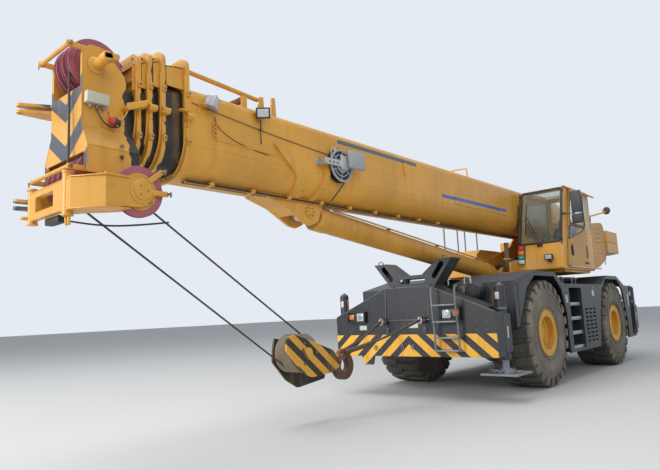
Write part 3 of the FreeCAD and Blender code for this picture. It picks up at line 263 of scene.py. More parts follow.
def turned(finish, profile, centre, axis=(1, 0, 0), steps=64, edge=0.0):
    """Closed outline of (along, radius) corners spun round an axis through centre, along X unless said."""
    piece = ring([(along, 0.0, radius) for along, radius in profile])
    only(piece)
    bpy.ops.object.mode_set(mode="EDIT")
    bpy.ops.mesh.select_all(action="SELECT")
    bpy.ops.mesh.spin(steps=steps, angle=2 * math.pi, center=(0, 0, 0), axis=(1, 0, 0))
    bpy.ops.mesh.select_all(action="SELECT")
    bpy.ops.mesh.remove_doubles(threshold=0.00005)
    bpy.ops.mesh.normals_make_consistent(inside=False)
    bpy.ops.object.mode_set(mode="OBJECT")
    piece.data.transform(Vector((1, 0, 0)).rotation_difference(Vector(axis)).to_matrix().to_4x4())
    piece.location = centre
    return settled(piece, finish, edge)


def washer(finish, half, inner, outer, centre, axis=(1, 0, 0), steps=64):
    """Flat ring of one wall, half its thickness to each side of its centre."""
    return turned(finish, [(-half, inner), (half, inner), (half, outer), (-half, outer)], centre, axis,
        steps)


def joined(parts):
    bpy.ops.object.select_all(action="DESELECT")
    for part in parts:
        part.select_set(True)
    bpy.context.view_layer.objects.active = parts[0]
    if len(parts) > 1:
        bpy.ops.object.join()
    return parts[0]


def copy_of(piece, move=Matrix()):
    """A copy with a mesh of its own, moved by a matrix."""
    twin = bpy.data.objects.new(piece.name, piece.data.copy())
    bpy.context.collection.objects.link(twin)
    twin.data.transform(move)
    return twin


def assembled(name, parts, body, slot, *replaced, smooth=32):
    """Join parts into one named piece, move it from the wheelbase's middle and fix it to a body."""
    piece = joined(parts)
    piece.name = piece.data.name = name
    piece.data.transform(Matrix.Translation((0, wheelbase_middle, 0)))
    only(piece)
    bpy.ops.object.shade_smooth_by_angle(angle=math.radians(smooth))
    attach(piece, body)
    if replaced:
        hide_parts(*replaced)
    return piece


def tyre_rubber():
    rubber = bpy.data.materials.new("tyre_rubber")
    rubber.use_nodes = True
    tree = rubber.node_tree
    shader = tree.nodes["Principled BSDF"]
    wall = ramp(tree, maths(tree, "ABSOLUTE", facing(tree, "X")), 0.35, 0.95)
    patches = ramp(tree, speckle(tree, 2.4, 8.0), 0.32, 0.68)
    fine = speckle(tree, 38.0, 6.0)
    scuffed = over(tree, ramp(tree, fine, 0.35, 0.7), (0.04, 0.039, 0.037, 1.0), (0.12, 0.112, 0.098, 1.0))
    dusted = over(tree, patches, (0.15, 0.137, 0.114, 1.0), (0.27, 0.24, 0.192, 1.0))
    dust = maths(tree, "ADD", maths(tree, "MULTIPLY", wall, 0.72), maths(tree, "MULTIPLY", patches, 0.22))
    tree.links.new(over(tree, dust, scuffed, dusted), shader.inputs["Base Color"])
    shader.inputs["Roughness"].default_value = 0.82
    shader.inputs["Specular IOR Level"].default_value = 0.25
    bumps = tree.nodes.new("ShaderNodeBump")
    bumps.inputs["Strength"].default_value = 0.35
    bumps.inputs["Distance"].default_value = 0.004
    tree.links.new(fine, bumps.inputs["Height"])
    tree.links.new(bumps.outputs["Normal"], shader.inputs["Normal"])
    return rubber


rubber = tyre_rubber()
half_ring = [(x, radius) for x, radius in wall_profile]
carcass = turned(rubber, half_ring + [(-x, radius) for x, radius in reversed(half_ring)], (0, 0, 0),
    steps=96)
for rib_radius in (0.455, 0.47, 0.69):
    near = min(wall_profile, key=lambda corner: abs(corner[1] - rib_radius))[0]
    for side in (-1, 1):
        rib = [(side * (near - 0.02), rib_radius - 0.006), (side * (near + 0.004), rib_radius - 0.003),
            (side * (near + 0.004), rib_radius + 0.003), (side * (near - 0.02), rib_radius + 0.006)]
        carcass = joined([carcass, turned(rubber, rib, (0, 0, 0), steps=96)])

# A lug's stations: place across the tyre, its two flanks as shares of the pitch, its foot and its top.
lug_stations = ((-0.012, 0.2, 0.72, 0.88, 0.9365), (0.12, 0.14, 0.66, 0.88, 0.937),
    (0.29, 0.02, 0.62, 0.872, 0.935), (0.352, 0.02, 0.62, 0.835, 0.922), (0.3745, 0.05, 0.59, 0.8, 0.885),
    (0.372, 0.12, 0.52, 0.77, 0.81))
pitch = 2 * math.pi / lug_count


def lofted(finish, rings, edge=0.0):
    """Skin through rings of as many corners each, closed at both ends."""
    count = len(rings[0])
    corners = [corner for loop in rings for corner in loop]
    faces = [tuple(range(count))[::-1], tuple(range(len(corners) - count, len(corners)))]
    for station in range(len(rings) - 1):
        for index in range(count):
            after = (index + 1) % count
            low, high = station * count, (station + 1) * count
            faces.append((low + index, low + after, high + after, high + index))
    mesh = bpy.data.meshes.new("skin")
    mesh.from_pydata(corners, [], faces)
    piece = bpy.data.objects.new("skin", mesh)
    bpy.context.collection.objects.link(piece)
    only(piece)
    bpy.ops.object.mode_set(mode="EDIT")
    bpy.ops.mesh.select_all(action="SELECT")
    bpy.ops.mesh.normals_make_consistent(inside=False)
    bpy.ops.object.mode_set(mode="OBJECT")
    return settled(piece, finish, edge)


def lug_ring(x, first, last, foot, top, side, turn):
    corners = []
    for radius, share in ((foot, first - 0.05), (top, first), (top, last), (foot, last + 0.05)):
        angle = (share + turn) * pitch
        corners.append((side * x, radius * math.cos(angle), radius * math.sin(angle)))
    return corners


for side in (-1, 1):
    lug = lofted(rubber, [lug_ring(*station, side, (side + 1) / 4) for station in lug_stations], 0.008)
    row = [copy_of(lug, Matrix.Rotation(number * pitch, 4, "X")) for number in range(lug_count)]
    bpy.data.objects.remove(lug)
    carcass = joined([carcass] + row)
corners = {"fl": (1, -1), "fr": (-1, -1), "rl": (1, 1), "rr": (-1, 1)}
axle_height, half_wheelbase = 0.937, 2.045
wheel_places = {}
for corner, (side, end) in corners.items():
    low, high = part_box(f"tyre_{corner}")
    middle = (low + high) / 2
    wheel_places[corner] = Vector((middle.x, middle.y - wheelbase_middle, middle.z))
    turn = Matrix.Rotation(0.0 if side > 0 else math.pi, 4, "Z")
    tyre = copy_of(carcass, Matrix.Translation(wheel_places[corner]) @ turn)
    assembled(f"lugged_tyre_{corner}", [tyre], f"wheel_{corner}", "rubber_tyre", f"tyre_{corner}",
        smooth=40)
bpy.data.objects.remove(carcass)

# Rims
# Pressed and welded steel rims painted yellow, each with a ring of wheel nuts on its disc, a planetary hub
# with a bolted cover and a lock ring beside the outer flange. Mud has dried in the well.
rim_yellow = coat("rim_yellow", (0.8, 0.4, 0.035, 1.0), dust=0.35, rough=0.42, grime=0.5)
nut_steel = coat("nut_steel", (0.33, 0.25, 0.12, 1.0), dust=0.4, rough=0.5, metal=0.4)
disc_face, cap_face = 0.136, 0.226


def bar(finish, start, end, radius, edge=0.0, sides=24):
    """Round or many-sided bar between two points."""
    start, end = Vector(start), Vector(end)
    along = end - start
    bpy.ops.mesh.primitive_cylinder_add(vertices=sides, radius=radius, depth=along.length,
        location=(start + end) / 2, rotation=along.to_track_quat("Z", "Y").to_euler())
    return settled(bpy.context.object, finish, edge)


def bolts(finish, places, along, radius, height):
    """Hexagon heads standing on a surface at each place."""
    head = bar(finish, (0, 0, 0), Vector(along).normalized() * height, radius, radius * 0.12, sides=6)
    heads = [copy_of(head, Matrix.Translation(place)) for place in places]
    bpy.data.objects.remove(head)
    return joined(heads)


def circle_of(centre, radius, count, x):
    """Places round a circle in a plane across X."""
    return [(centre.x + x, centre.y + radius * math.cos(2 * math.pi * number / count),
        centre.z + radius * math.sin(2 * math.pi * number / count)) for number in range(count)]


give(rim_yellow, *(f"rim_{corner}" for corner in corners))
for corner, (side, end) in corners.items():
    centre = wheel_places[corner]
    parts = [
        bolts(nut_steel, circle_of(centre, 0.248, 24, side * disc_face), (side, 0, 0), 0.016, 0.026),
        bolts(nut_steel, circle_of(centre, 0.15, 10, side * cap_face), (side, 0, 0), 0.012, 0.012)]
    cover = [(side * 0.22, 0.0), (side * 0.22, 0.11), (side * 0.236, 0.11), (side * 0.244, 0.085),
        (side * 0.244, 0.0)]
    parts.append(turned(rim_yellow, cover, centre, steps=40))
    lock = [(side * 0.338, 0.396), (side * 0.338, 0.408), (side * 0.35, 0.404), (side * 0.35, 0.396)]
    parts.append(turned(rim_yellow, lock, centre, steps=72))
    well = [(side * 0.2, 0.262), (side * 0.2, 0.293), (side * 0.224, 0.293), (side * 0.224, 0.284),
        (side * 0.206, 0.262)]
    parts.append(turned(rim_yellow, well, centre, steps=64))
    assembled(f"wheel_nuts_{corner}", parts, f"wheel_{corner}", "rim_paint")

# Axles and steering
# Cast axle housings and knuckles, black with grease and road dirt, with the tie rod behind each axle and the
# steering cylinders on it.
axle_black = coat("axle_black", (0.035, 0.034, 0.033, 1.0), dust=0.5, rough=0.6, grime=0.5, edges=0.1)
bright_rod = coat("bright_rod", (0.62, 0.62, 0.63, 1.0), dust=0.12, rough=0.18, grime=0.15, edges=0.0,
    metal=1.0)
give(axle_black, "front_axle", "rear_axle", *(f"knuckle_{corner}" for corner in corners))
for end, name in ((-1, "front"), (1, "rear")):
    y = wheel_places["fl"].y if end < 0 else wheel_places["rl"].y
    parts = []
    for side in (-1, 1):
        parts += [
            bar(axle_black, (side * 0.2, y + 0.19, 0.8), (side * 0.52, y + 0.19, 0.8), 0.055, 0.006),
            bar(bright_rod, (side * 0.5, y + 0.19, 0.8), (side * 0.64, y + 0.19, 0.8), 0.028, 0.003),
            bar(axle_black, (side * 0.22, y + 0.19, 0.8), (side * 0.22, y + 0.02, 0.84), 0.05, 0.006)]
    for side in (-1, 1):
        places = circle_of(Vector((0, y, axle_height)), 0.225, 18, side * 0.15)
        parts.append(bolts(axle_black, places, (side, 0, 0), 0.014, 0.014))
    assembled(f"steering_cylinders_{name}", parts, "carrier", "steel")

# Frame, deck and side plates
# The carrier is welded steel under dark grey paint, gone pale with dust on top. Folded deck sheets cover the
# wheels. The side plates have the wheel arches, the step well with aluminium treads and the tank's grille.
charcoal = (0.024, 0.027, 0.034, 1.0)
carrier_grey = coat("carrier_grey", charcoal, dust=0.16, rough=0.38, grime=0.3, edges=0.3,
    dust_colour=(0.2, 0.2, 0.2, 1.0))
deck_grey = coat("deck_grey", (0.032, 0.036, 0.045, 1.0), dust=0.3, rough=0.5, grime=0.3, edges=0.3,
    dust_colour=(0.16, 0.165, 0.175, 1.0))
tread_aluminium = coat("tread_aluminium", (0.42, 0.46, 0.48, 1.0), dust=0.25, rough=0.38, metal=0.7,
    edges=0.1)
tube_grey = coat("tube_grey", (0.19, 0.2, 0.21, 1.0), dust=0.25, rough=0.4, metal=0.3)
label_white = coat("label_white", (0.66, 0.67, 0.63, 1.0), dust=0.2, rough=0.5, grime=0.15, edges=0.0)
hose_black = coat("hose_black", (0.015, 0.015, 0.015, 1.0), dust=0.3, rough=0.5, grime=0.1, edges=0.0)
black_plastic = coat("black_plastic", (0.018, 0.018, 0.019, 1.0), dust=0.25, rough=0.55, grime=0.1,
    edges=0.1)
give(carrier_grey, "frame", "slew_ring", "side_skirts", "side_box", "side_steps")
give(deck_grey, "deck")


def block(finish, start, end, edge=0.004, rounds=2):
    """Bevelled block between two opposite corners."""
    low = Vector([min(pair) for pair in zip(start, end)])
    high = Vector([max(pair) for pair in zip(start, end)])
    bpy.ops.mesh.primitive_cube_add(size=1.0, location=(low + high) / 2, scale=high - low)
    return settled(bpy.context.object, finish, edge, rounds)


def pipe(finish, points, radius, curved=True):
    """Bent tube along given points, round at its bends or with straight runs."""
    curve = bpy.data.curves.new("pipe", "CURVE")
    curve.dimensions = "3D"
    line = curve.splines.new("NURBS" if curved else "POLY")
    line.points.add(len(points) - 1)
    for place, point in zip(line.points, points):
        place.co = (*point, 1.0)
    if curved:
        line.order_u = 3
        line.use_endpoint_u = True
    curve.resolution_u = 6
    curve.bevel_depth = radius
    curve.bevel_resolution = 3
    curve.use_fill_caps = True
    piece = bpy.data.objects.new("pipe", curve)
    bpy.context.collection.objects.link(piece)
    only(piece)
    bpy.ops.object.convert(target="MESH")
    return settled(bpy.context.object, finish)


def sheet_metal(finish, points, axis, low, high, edge=0.003):
    """Plate cut to an outline in the plane across an axis, from low to high along it."""
    order = {"x": (2, 0, 1), "y": (0, 2, 1), "z": (0, 1, 2)}[axis]
    rings = [[[(a, b, level)[index] for index in order] for a, b in points] for level in (low, high)]
    return lofted(finish, rings, edge)


side_face = 1.55
hoop_x = 1.46
guard_radius = 1.15
parts = []
for side in (-1, 1):
    skirt = side * side_face
    proud = side * (side_face + 0.006)
    for y in (-1.05, -0.32):
        hoop = [(side * hoop_x, y + reach, z) for reach, z in ((0.0, 1.8), (0.0, 1.92), (0.03, 1.945),
            (0.17, 1.945), (0.2, 1.92), (0.2, 1.8))]
        parts.append(pipe(tube_grey, hoop, 0.013))
    for y, z in ((-3.25, 1.9), (-2.55, 1.985), (-0.95, 1.86), (1.0, 1.86), (1.75, 1.985), (2.7, 1.93)):
        parts.append(bolts(carrier_grey, [(proud - side * 0.008, y, z - 0.1)], (side, 0, 0), 0.014, 0.01))
    for y, z, wide, tall in ((-0.99, 1.52, 0.09, 0.15), (0.62, 1.62, 0.13, 0.12), (3.3, 1.45, 0.08, 0.3),
            (0.62, 1.73, 0.06, 0.02)):
        parts.append(block(label_white, (skirt, y - wide / 2, z - tall / 2),
            (proud, y + wide / 2, z + tall / 2), 0.001))
    for low_z in (0.54, 0.82, 1.1, 1.38):
        parts.append(block(tread_aluminium, (side * 1.348, -0.806, low_z + 0.004),
            (side * 1.514, -0.134, low_z + 0.064)))
        for number in range(9):
            y = -0.77 + number * 0.075
            parts.append(block(tread_aluminium, (side * 1.352, y, low_z + 0.062),
                (side * 1.512, y + 0.012, low_z + 0.07), 0.002))
    for row in range(8):
        z = 0.69 + row * 0.08
        parts.append(block(carrier_grey, (skirt - side * 0.004, 0.02, z),
            (skirt + side * 0.005, 0.7, z + 0.014), 0.003))
    parts.append(pipe(carrier_grey, [(skirt, -3.2, 1.02), (skirt, -3.2, 1.8), (skirt, -2.5, 1.995),
        (skirt, -1.53, 1.995)], 0.007, curved=False))
    rings = []
    for angle in (math.radians(12 + 9 * number) for number in range(7)):
        rings.append([(side * x, radius * math.cos(angle) - half_wheelbase,
            radius * math.sin(angle) + axle_height) for x, radius in ((0.82, guard_radius),
            (1.18, guard_radius), (1.18, guard_radius - 0.008), (0.82, guard_radius - 0.008))])
    parts.append(lofted(black_plastic, rings))
# Black hoses on the deck under the cab. They also fill the gap between the cab and the deck with painted
# shade.
for number in range(6):
    reach = 0.62 + number * 0.115
    level = 1.85 + 0.03 * (number % 3)
    parts.append(pipe(hose_black, [(0.55, -0.55, level), (reach, -0.5, level + 0.02),
        (reach + 0.02, 0.3, level + 0.05), (reach, 1.1, level + 0.02), (0.55, 1.22, level)], 0.03))
assembled("deck_fittings", parts, "carrier", "carrier_paint")

# Bracket on the deck's left front
# A folded bracket with a long hole stands behind the front cover, with a round black tank end beside it, two
# white hoops on it and a hose that runs down beside the jack.
parts = [
    sheet_metal(carrier_grey, [(0.5, 1.58), (0.44, 1.83), (0.86, 1.83), (0.92, 1.52)], "y", -3.52, -3.5),
    block(carrier_grey, (0.44, -3.52, 1.818), (0.86, -3.34, 1.832), 0.004),
    bar(black_plastic, (0.92, -3.56, 1.7), (0.92, -3.2, 1.7), 0.14, 0.02, sides=36),
    bar(black_plastic, (0.92, -3.58, 1.7), (0.92, -3.55, 1.7), 0.105, 0.01, sides=36),
    pipe(label_white, [(0.3, -3.45, 1.8), (0.3, -3.45, 1.95), (0.33, -3.45, 1.975), (0.4, -3.45, 1.975),
        (0.43, -3.45, 1.95), (0.43, -3.45, 1.8)], 0.014),
    pipe(label_white, [(0.72, -3.42, 1.82), (0.72, -3.42, 1.93), (0.75, -3.42, 1.955), (0.81, -3.42, 1.955),
        (0.84, -3.42, 1.93), (0.84, -3.42, 1.82)], 0.014),
    pipe(black_plastic, [(1.27, -3.45, 1.3), (1.25, -3.47, 1.5), (1.27, -3.5, 1.7), (1.33, -3.55, 1.74)],
        0.014)]
hole = [(0.66 + 0.085 * math.cos(a), -3.5215, 1.745 + 0.038 * math.sin(a))
    for a in (2 * math.pi * n / 28 for n in range(28))]
parts.append(settled(ring(hole, filled=True), hose_black))
assembled("deck_bracket", parts, "carrier", "carrier_paint")

# Outrigger boxes, beams and jacks
# Each box is a welded casing with two beams one behind the other. A beam ends in an upright jack tube and an
# end plate. The two floats that are left are square steel plates, rusty round their edges.
float_steel = coat("float_steel", (0.2, 0.24, 0.27, 1.0), dust=0.35, rough=0.5, edges=1.0, metal=0.2,
    dust_colour=(0.33, 0.22, 0.13, 1.0), soft_edge=0.02)
rust = coat("rust", (0.22, 0.1, 0.045, 1.0), dust=0.3, rough=0.85, grime=0.5, edges=0.2)
give(carrier_grey, "front_box", "rear_box")
give(coat("beam_grey", (0.03, 0.033, 0.04, 1.0), dust=0.2, rough=0.38, grime=0.45, edges=0.5),
    *(f"beam_{corner}" for corner in corners))
give(float_steel, *(f"jack_{corner}" for corner in corners))
for corner, (side, end) in corners.items():
    low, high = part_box(f"jack_{corner}")
    x = side * 1.487
    y = (low.y + high.y) / 2 - wheelbase_middle
    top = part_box(f"beam_{corner}")[1].z
    outer = side * 1.567
    parts = [
        turned(tube_grey, [(0.0, 0.0), (0.0, 0.062), (0.012, 0.068), (0.03, 0.068), (0.036, 0.03),
            (0.06, 0.024), (0.06, 0.0)], (x, y, top), (0, 0, 1), steps=32),
        turned(tube_grey, [(0.0, 0.078), (0.0, 0.088), (0.03, 0.088), (0.03, 0.078)], (x, y, top - 0.36),
            (0, 0, 1), steps=40),
        block(label_white, (outer - side * 0.002, y - 0.02, 0.95), (outer + side * 0.004, y + 0.02, 1.13),
            0.001),
        block(label_white, (x - side * 0.045, y - 0.084, top - 0.2),
            (x + side * 0.02, y - 0.07, top - 0.09), 0.002),
        block(rust, (outer - side * 0.03, y + 0.119, 0.74), (outer + side * 0.002, y + 0.128, 1.32), 0.002),
        bolts(tube_grey, [(outer, y + dy, z) for dy in (-0.09, 0.09) for z in (0.8, 1.26)], (side, 0, 0),
            0.013, 0.01),
        pipe(rust, [(x - side * 0.1, y, 1.22), (x - side * 0.11, y - 0.03, 1.45),
            (x - side * 0.1, y - 0.02, 1.66), (x - side * 0.06, y, top - 0.05)], 0.016)]
    assembled(f"jack_fittings_{corner}", parts, f"beam_{corner}", "carrier_paint")
    if high.x - low.x > 0.4:
        level = low.z + 0.03
        parts = [
            pipe(rust, [(x - 0.19, y - 0.19, level), (x - 0.19, y - 0.19, level + 0.06),
                (x - 0.1, y - 0.19, level + 0.06), (x - 0.1, y - 0.19, level)], 0.01),
            pipe(rust, [(x + 0.19, y - 0.16, level), (x + 0.19, y - 0.16, level + 0.06),
                (x + 0.19, y - 0.07, level + 0.06), (x + 0.19, y - 0.07, level)], 0.01),
            bolts(rust, [(x + 0.13 * math.cos(a), y + 0.13 * math.sin(a), level)
                for a in (math.radians(45 + 90 * n) for n in range(4))], (0, 0, 1), 0.012, 0.012)]
        for dx, dy in ((1, 0), (-1, 0), (0, 1), (0, -1)):
            half_x, half_y = 0.006 * abs(dy), 0.006 * abs(dx)
            parts.append(block(float_steel, (x + dx * 0.1 - half_x, y + dy * 0.1 - half_y, level),
                (x + dx * 0.24 + half_x, y + dy * 0.24 + half_y, level + 0.035), 0.003))
        assembled(f"float_handles_{corner}", parts, f"jack_{corner}", "steel")

# Front cover
# A folded steel hood over the front box behind a full-width plate. Beads frame its middle panel, and a band
# of yellow and black warning stripes crosses its foot, slanting down from the centre to both sides.
stripe_yellow = (0.84, 0.43, 0.035, 1.0)
stripe_foot, stripe_top = 0.68, 1.04
stripe_slant, stripe_period, stripe_share, first_edge = 1.19, 0.357, 0.53, 0.239
front_face = -4.13


def between(tree, value, low, high):
    return maths(tree, "MULTIPLY", maths(tree, "GREATER_THAN", value, low),
        maths(tree, "LESS_THAN", value, high))


def front_stripes(tree):
    x, y, z = coordinates(tree)
    rise = maths(tree, "MULTIPLY", maths(tree, "SUBTRACT", z, stripe_foot), stripe_slant)
    reach = maths(tree, "ADD", maths(tree, "ABSOLUTE", x), rise)
    before = maths(tree, "SUBTRACT", first_edge + 20 * stripe_period, reach)
    share = maths(tree, "FRACT", maths(tree, "DIVIDE", before, stripe_period))
    yellow = maths(tree, "MAXIMUM", maths(tree, "LESS_THAN", share, stripe_share),
        maths(tree, "LESS_THAN", reach, first_edge))
    ahead = maths(tree, "LESS_THAN", y, wheelbase_middle + front_face + 0.015)
    return maths(tree, "MULTIPLY", maths(tree, "MULTIPLY", yellow, ahead),
        maths(tree, "LESS_THAN", z, stripe_top))


cover_grey = coat("cover_grey", (0.018, 0.02, 0.024, 1.0), dust=0.14, rough=0.36, grime=0.3, edges=0.45,
    marks=[(stripe_yellow, front_stripes)])
bead_grey = coat("bead_grey", (0.105, 0.113, 0.122, 1.0), dust=0.2, rough=0.35, metal=0.2, edges=0.5)
give(cover_grey, "front_cover")
parts = []
for side in (-1, 1):
    parts += [
        pipe(bead_grey, [(side * 0.425, front_face - 0.002, 1.815),
            (side * 0.428, front_face - 0.006, 1.42), (side * 0.44, front_face - 0.006, 1.32),
            (side * 0.475, front_face - 0.002, 1.285)], 0.011),
        pipe(bead_grey, [(side * 0.43, front_face + 0.01, 1.823), (side * 1.567, front_face + 0.01, 1.362)],
            0.01, curved=False),
        pipe(bead_grey, [(side * 0.43, -3.3, 1.823), (side * 0.43, front_face + 0.01, 1.823)], 0.006,
            curved=False)]
parts += [
    pipe(bead_grey, [(-0.43, front_face + 0.01, 1.823), (0.43, front_face + 0.01, 1.823)], 0.01,
        curved=False),
    block(bead_grey, (-0.43, front_face - 0.012, 1.268), (0.43, front_face, 1.286), 0.003),
    block(label_white, (0.02, front_face - 0.004, 1.145), (0.2, front_face, 1.225), 0.001),
    block(label_white, (-1.03, front_face - 0.004, 1.125), (-0.87, front_face, 1.205), 0.001)]
for x, z in ((0.33, 1.14), (-0.41, 1.14), (-0.13, 0.86), (0.08, 0.86), (-0.69, 0.85)):
    parts += [
        bolts(tube_grey, [(x, front_face, z)], (0, -1, 0), 0.018, 0.016),
        washer(tube_grey, 0.006, 0.026, 0.038, (x, front_face - 0.012, z - 0.03), (0.25, 1, 0), steps=24)]
parts.append(bolts(tube_grey, [(x, front_face, z) for x in (1.25, 1.42) for z in (1.22, 1.1)], (0, -1, 0),
    0.01, 0.006))
assembled("cover_beads", parts, "carrier", "carrier_paint")

# Towing lugs and slings
# Two pairs of lugs on the front plate carry bow shackles, and two wire slings with spliced eyes tie the hook
# block back to them. The slings are taut.
wire_rope = coat("wire_rope", (0.06, 0.05, 0.04, 1.0), dust=0.35, rough=0.6, grime=0.6, edges=0.0)
oily_rope = coat("oily_rope", (0.085, 0.052, 0.03, 1.0), dust=0.3, rough=0.6, grime=0.6, edges=0.0)
sling_eye = Vector((0.0, -5.83, 0.865))
lug_places = ((-0.45, 1.26), (0.33, 1.27))
parts = []
for x, z in lug_places:
    for near in (-0.028, 0.016):
        parts.append(sheet_metal(bead_grey, [(front_face, z - 0.06), (front_face - 0.07, z - 0.03),
            (front_face - 0.1, z), (front_face - 0.07, z + 0.03), (front_face, z + 0.06)], "x", x + near,
            x + near + 0.012))
    parts.append(bar(rust, (x - 0.055, front_face - 0.065, z), (x + 0.055, front_face - 0.065, z), 0.016,
        0.003))
    bow = [(x, front_face - 0.065 - 0.075 + 0.048 * math.cos(a), z + 0.048 * math.sin(a))
        for a in (2 * math.pi * n / 16 for n in range(17))]
    parts.append(pipe(label_white, bow, 0.013))
assembled("towing_lugs", parts, "carrier", "steel")
parts = []
for x, z in lug_places:
    start = Vector((x, front_face - 0.17, z))
    mouth = sling_eye + Vector((0.03 * (1 if x > 0 else -1), 0, 0.02))
    middle = start.lerp(mouth, 0.45) + Vector((0, 0, -0.035))
    late = start.lerp(mouth, 0.8) + Vector((0, 0, -0.03))
    parts += [
        pipe(wire_rope, [start, start.lerp(middle, 0.4), middle, late, mouth], 0.017),
        pipe(wire_rope, [start, start.lerp(middle, 0.35)], 0.026, curved=False),
        pipe(oily_rope, [middle.lerp(late, 0.6), late, mouth], 0.034)]
assembled("slings", parts, "carrier", "rope")

# Ladder
# Bent round stiles with four flat treads, bolted to the front plate at top and foot.
ladder_grey = coat("ladder_grey", (0.21, 0.22, 0.23, 1.0), dust=0.3, rough=0.4, metal=0.3, edges=0.6)
parts = []
for x in (0.565, 0.99):
    parts.append(pipe(ladder_grey, [(x, front_face, 0.775), (x, front_face - 0.09, 0.775),
        (x, front_face - 0.1, 0.83), (x, front_face - 0.1, 1.18), (x, front_face - 0.135, 1.36),
        (x, front_face - 0.135, 1.72), (x, front_face - 0.125, 1.785), (x, front_face - 0.05, 1.79)],
        0.016))
for level, back in ((0.8, 0.0), (1.0, 0.0), (1.25, 0.02), (1.51, 0.035)):
    y = front_face - 0.11 - back
    parts.append(block(ladder_grey, (0.565, y - 0.035, level - 0.03), (0.99, y + 0.045, level), 0.006))
    for number in range(6):
        x = 0.6 + number * 0.066
        parts.append(block(black_plastic, (x, y - 0.02, level - 0.001),
            (x + 0.03, y + 0.028, level + 0.002), 0.0005))
assembled("tube_ladder", parts, "carrier", "carrier_paint", "ladder")

# Road lamps
# Square head lamps and amber turn lamps in folded housings on the front plate, and tail lamps with red, amber
# and white lenses across the rear box.
lamp_glass = coat("lamp_glass", (0.62, 0.66, 0.68, 1.0), dust=0.08, rough=0.12, grime=0.05, edges=0.0)
amber = coat("amber", (0.85, 0.2, 0.02, 1.0), dust=0.05, rough=0.2, grime=0.05, edges=0.0)
red_lens = coat("red_lens", (0.6, 0.02, 0.02, 1.0), dust=0.05, rough=0.2, grime=0.05, edges=0.0)
green_lens = coat("green_lens", (0.01, 0.3, 0.22, 1.0), dust=0.05, rough=0.2, grime=0.05, edges=0.0)
parts = []
for x, half, inboard in ((-1.05, 0.19, 1), (0.84, 0.17, -1)):
    parts.append(block(carrier_grey, (x - half, front_face - 0.04, 1.26), (x + half, front_face, 1.45),
        0.01))
    for low, high in (((x - half, 1.44), (x + half, 1.452)), ((x - half, 1.258), (x + half, 1.27))):
        parts.append(block(carrier_grey, (low[0], front_face - 0.07, low[1]),
            (high[0], front_face, high[1]), 0.003))
    for end in (x - half, x + half - 0.012):
        parts.append(block(carrier_grey, (end, front_face - 0.07, 1.26), (end + 0.012, front_face, 1.45),
            0.003))
    lens = x + inboard * half * 0.42
    parts += [
        block(lamp_glass, (lens - 0.075, front_face - 0.06, 1.285),
            (lens + 0.075, front_face - 0.03, 1.425), 0.014),
        turned(bright_rod, [(0.0, 0.0), (0.0, 0.04), (0.01, 0.044), (0.01, 0.0)],
            (lens, front_face - 0.0605, 1.355), (0, -1, 0), steps=32)]
    turn_x = x - inboard * half * 0.6
    parts.append(block(amber, (turn_x - 0.05, front_face - 0.058, 1.315),
        (turn_x + 0.05, front_face - 0.03, 1.405), 0.008))
rear_low, rear_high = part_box("rear_box")
rear_face = rear_high.y - wheelbase_middle
for x in (-1.15, 1.15):
    parts.append(block(black_plastic, (x - 0.15, rear_face, 1.16), (x + 0.15, rear_face + 0.026, 1.28),
        0.006))
    for number, lens_finish in enumerate((red_lens, amber, label_white)):
        low_x = x - 0.142 + number * 0.096
        parts.append(block(lens_finish, (low_x, rear_face + 0.01, 1.17),
            (low_x + 0.09, rear_face + 0.04, 1.27), 0.008))
assembled("road_lamps", parts, "carrier", "lamp", "lamps")

# Boom rest
# Two slotted steel plates welded to a boxed fork on top of the front cover, where the lift cylinder lies when
# the crane travels. Its faces are rubbed pale.
rest_grey = coat("rest_grey", (0.04, 0.043, 0.05, 1.0), dust=0.25, rough=0.45, edges=0.5)
give(rest_grey, "boom_rest")
parts = []
for side in (-1, 1):
    parts += [
        bolts(rest_grey, [(side * 0.38, -3.925, 1.86), (side * 0.66, -3.925, 2.2)], (0, -1, 0), 0.013, 0.01),
        pipe(tube_grey, [(side * 0.6, -3.9, 2.27), (side * 0.6, -3.9, 2.32), (side * 0.7, -3.9, 2.32),
            (side * 0.7, -3.9, 2.27)], 0.01)]
assembled("rest_fittings", parts, "carrier", "carrier_paint")

# Engine and its hood
# The engine is a plain block under a long louvred hood, with its silencer and rain cap beside the hood.
engine_grey = coat("engine_grey", (0.1, 0.1, 0.1, 1.0), dust=0.4, rough=0.6)
give(engine_grey, "engine")
give(deck_grey, "engine_hood")
parts = [
    bar(rust, (-0.62, 2.1, 1.812), (-0.62, 2.1, 2.3), 0.075, 0.01, sides=32),
    pipe(rust, [(-0.62, 2.1, 2.28), (-0.62, 2.1, 2.48), (-0.62, 2.16, 2.55), (-0.62, 2.26, 2.57)], 0.038)]
for number in range(12):
    y = 1.55 + number * 0.12
    for side in (-1, 1):
        parts.append(block(deck_grey, (side * 0.396, y, 1.8), (side * 0.412, y + 0.05, 1.885)))
for y in (1.9, 3.1):
    for x in (-0.22, 0.22):
        parts.append(pipe(tube_grey, [(x - 0.05, y, 1.985), (x - 0.05, y, 2.045), (x + 0.05, y, 2.045),
            (x + 0.05, y, 1.985)], 0.008))
assembled("hood_fittings", parts, "carrier", "carrier_paint")

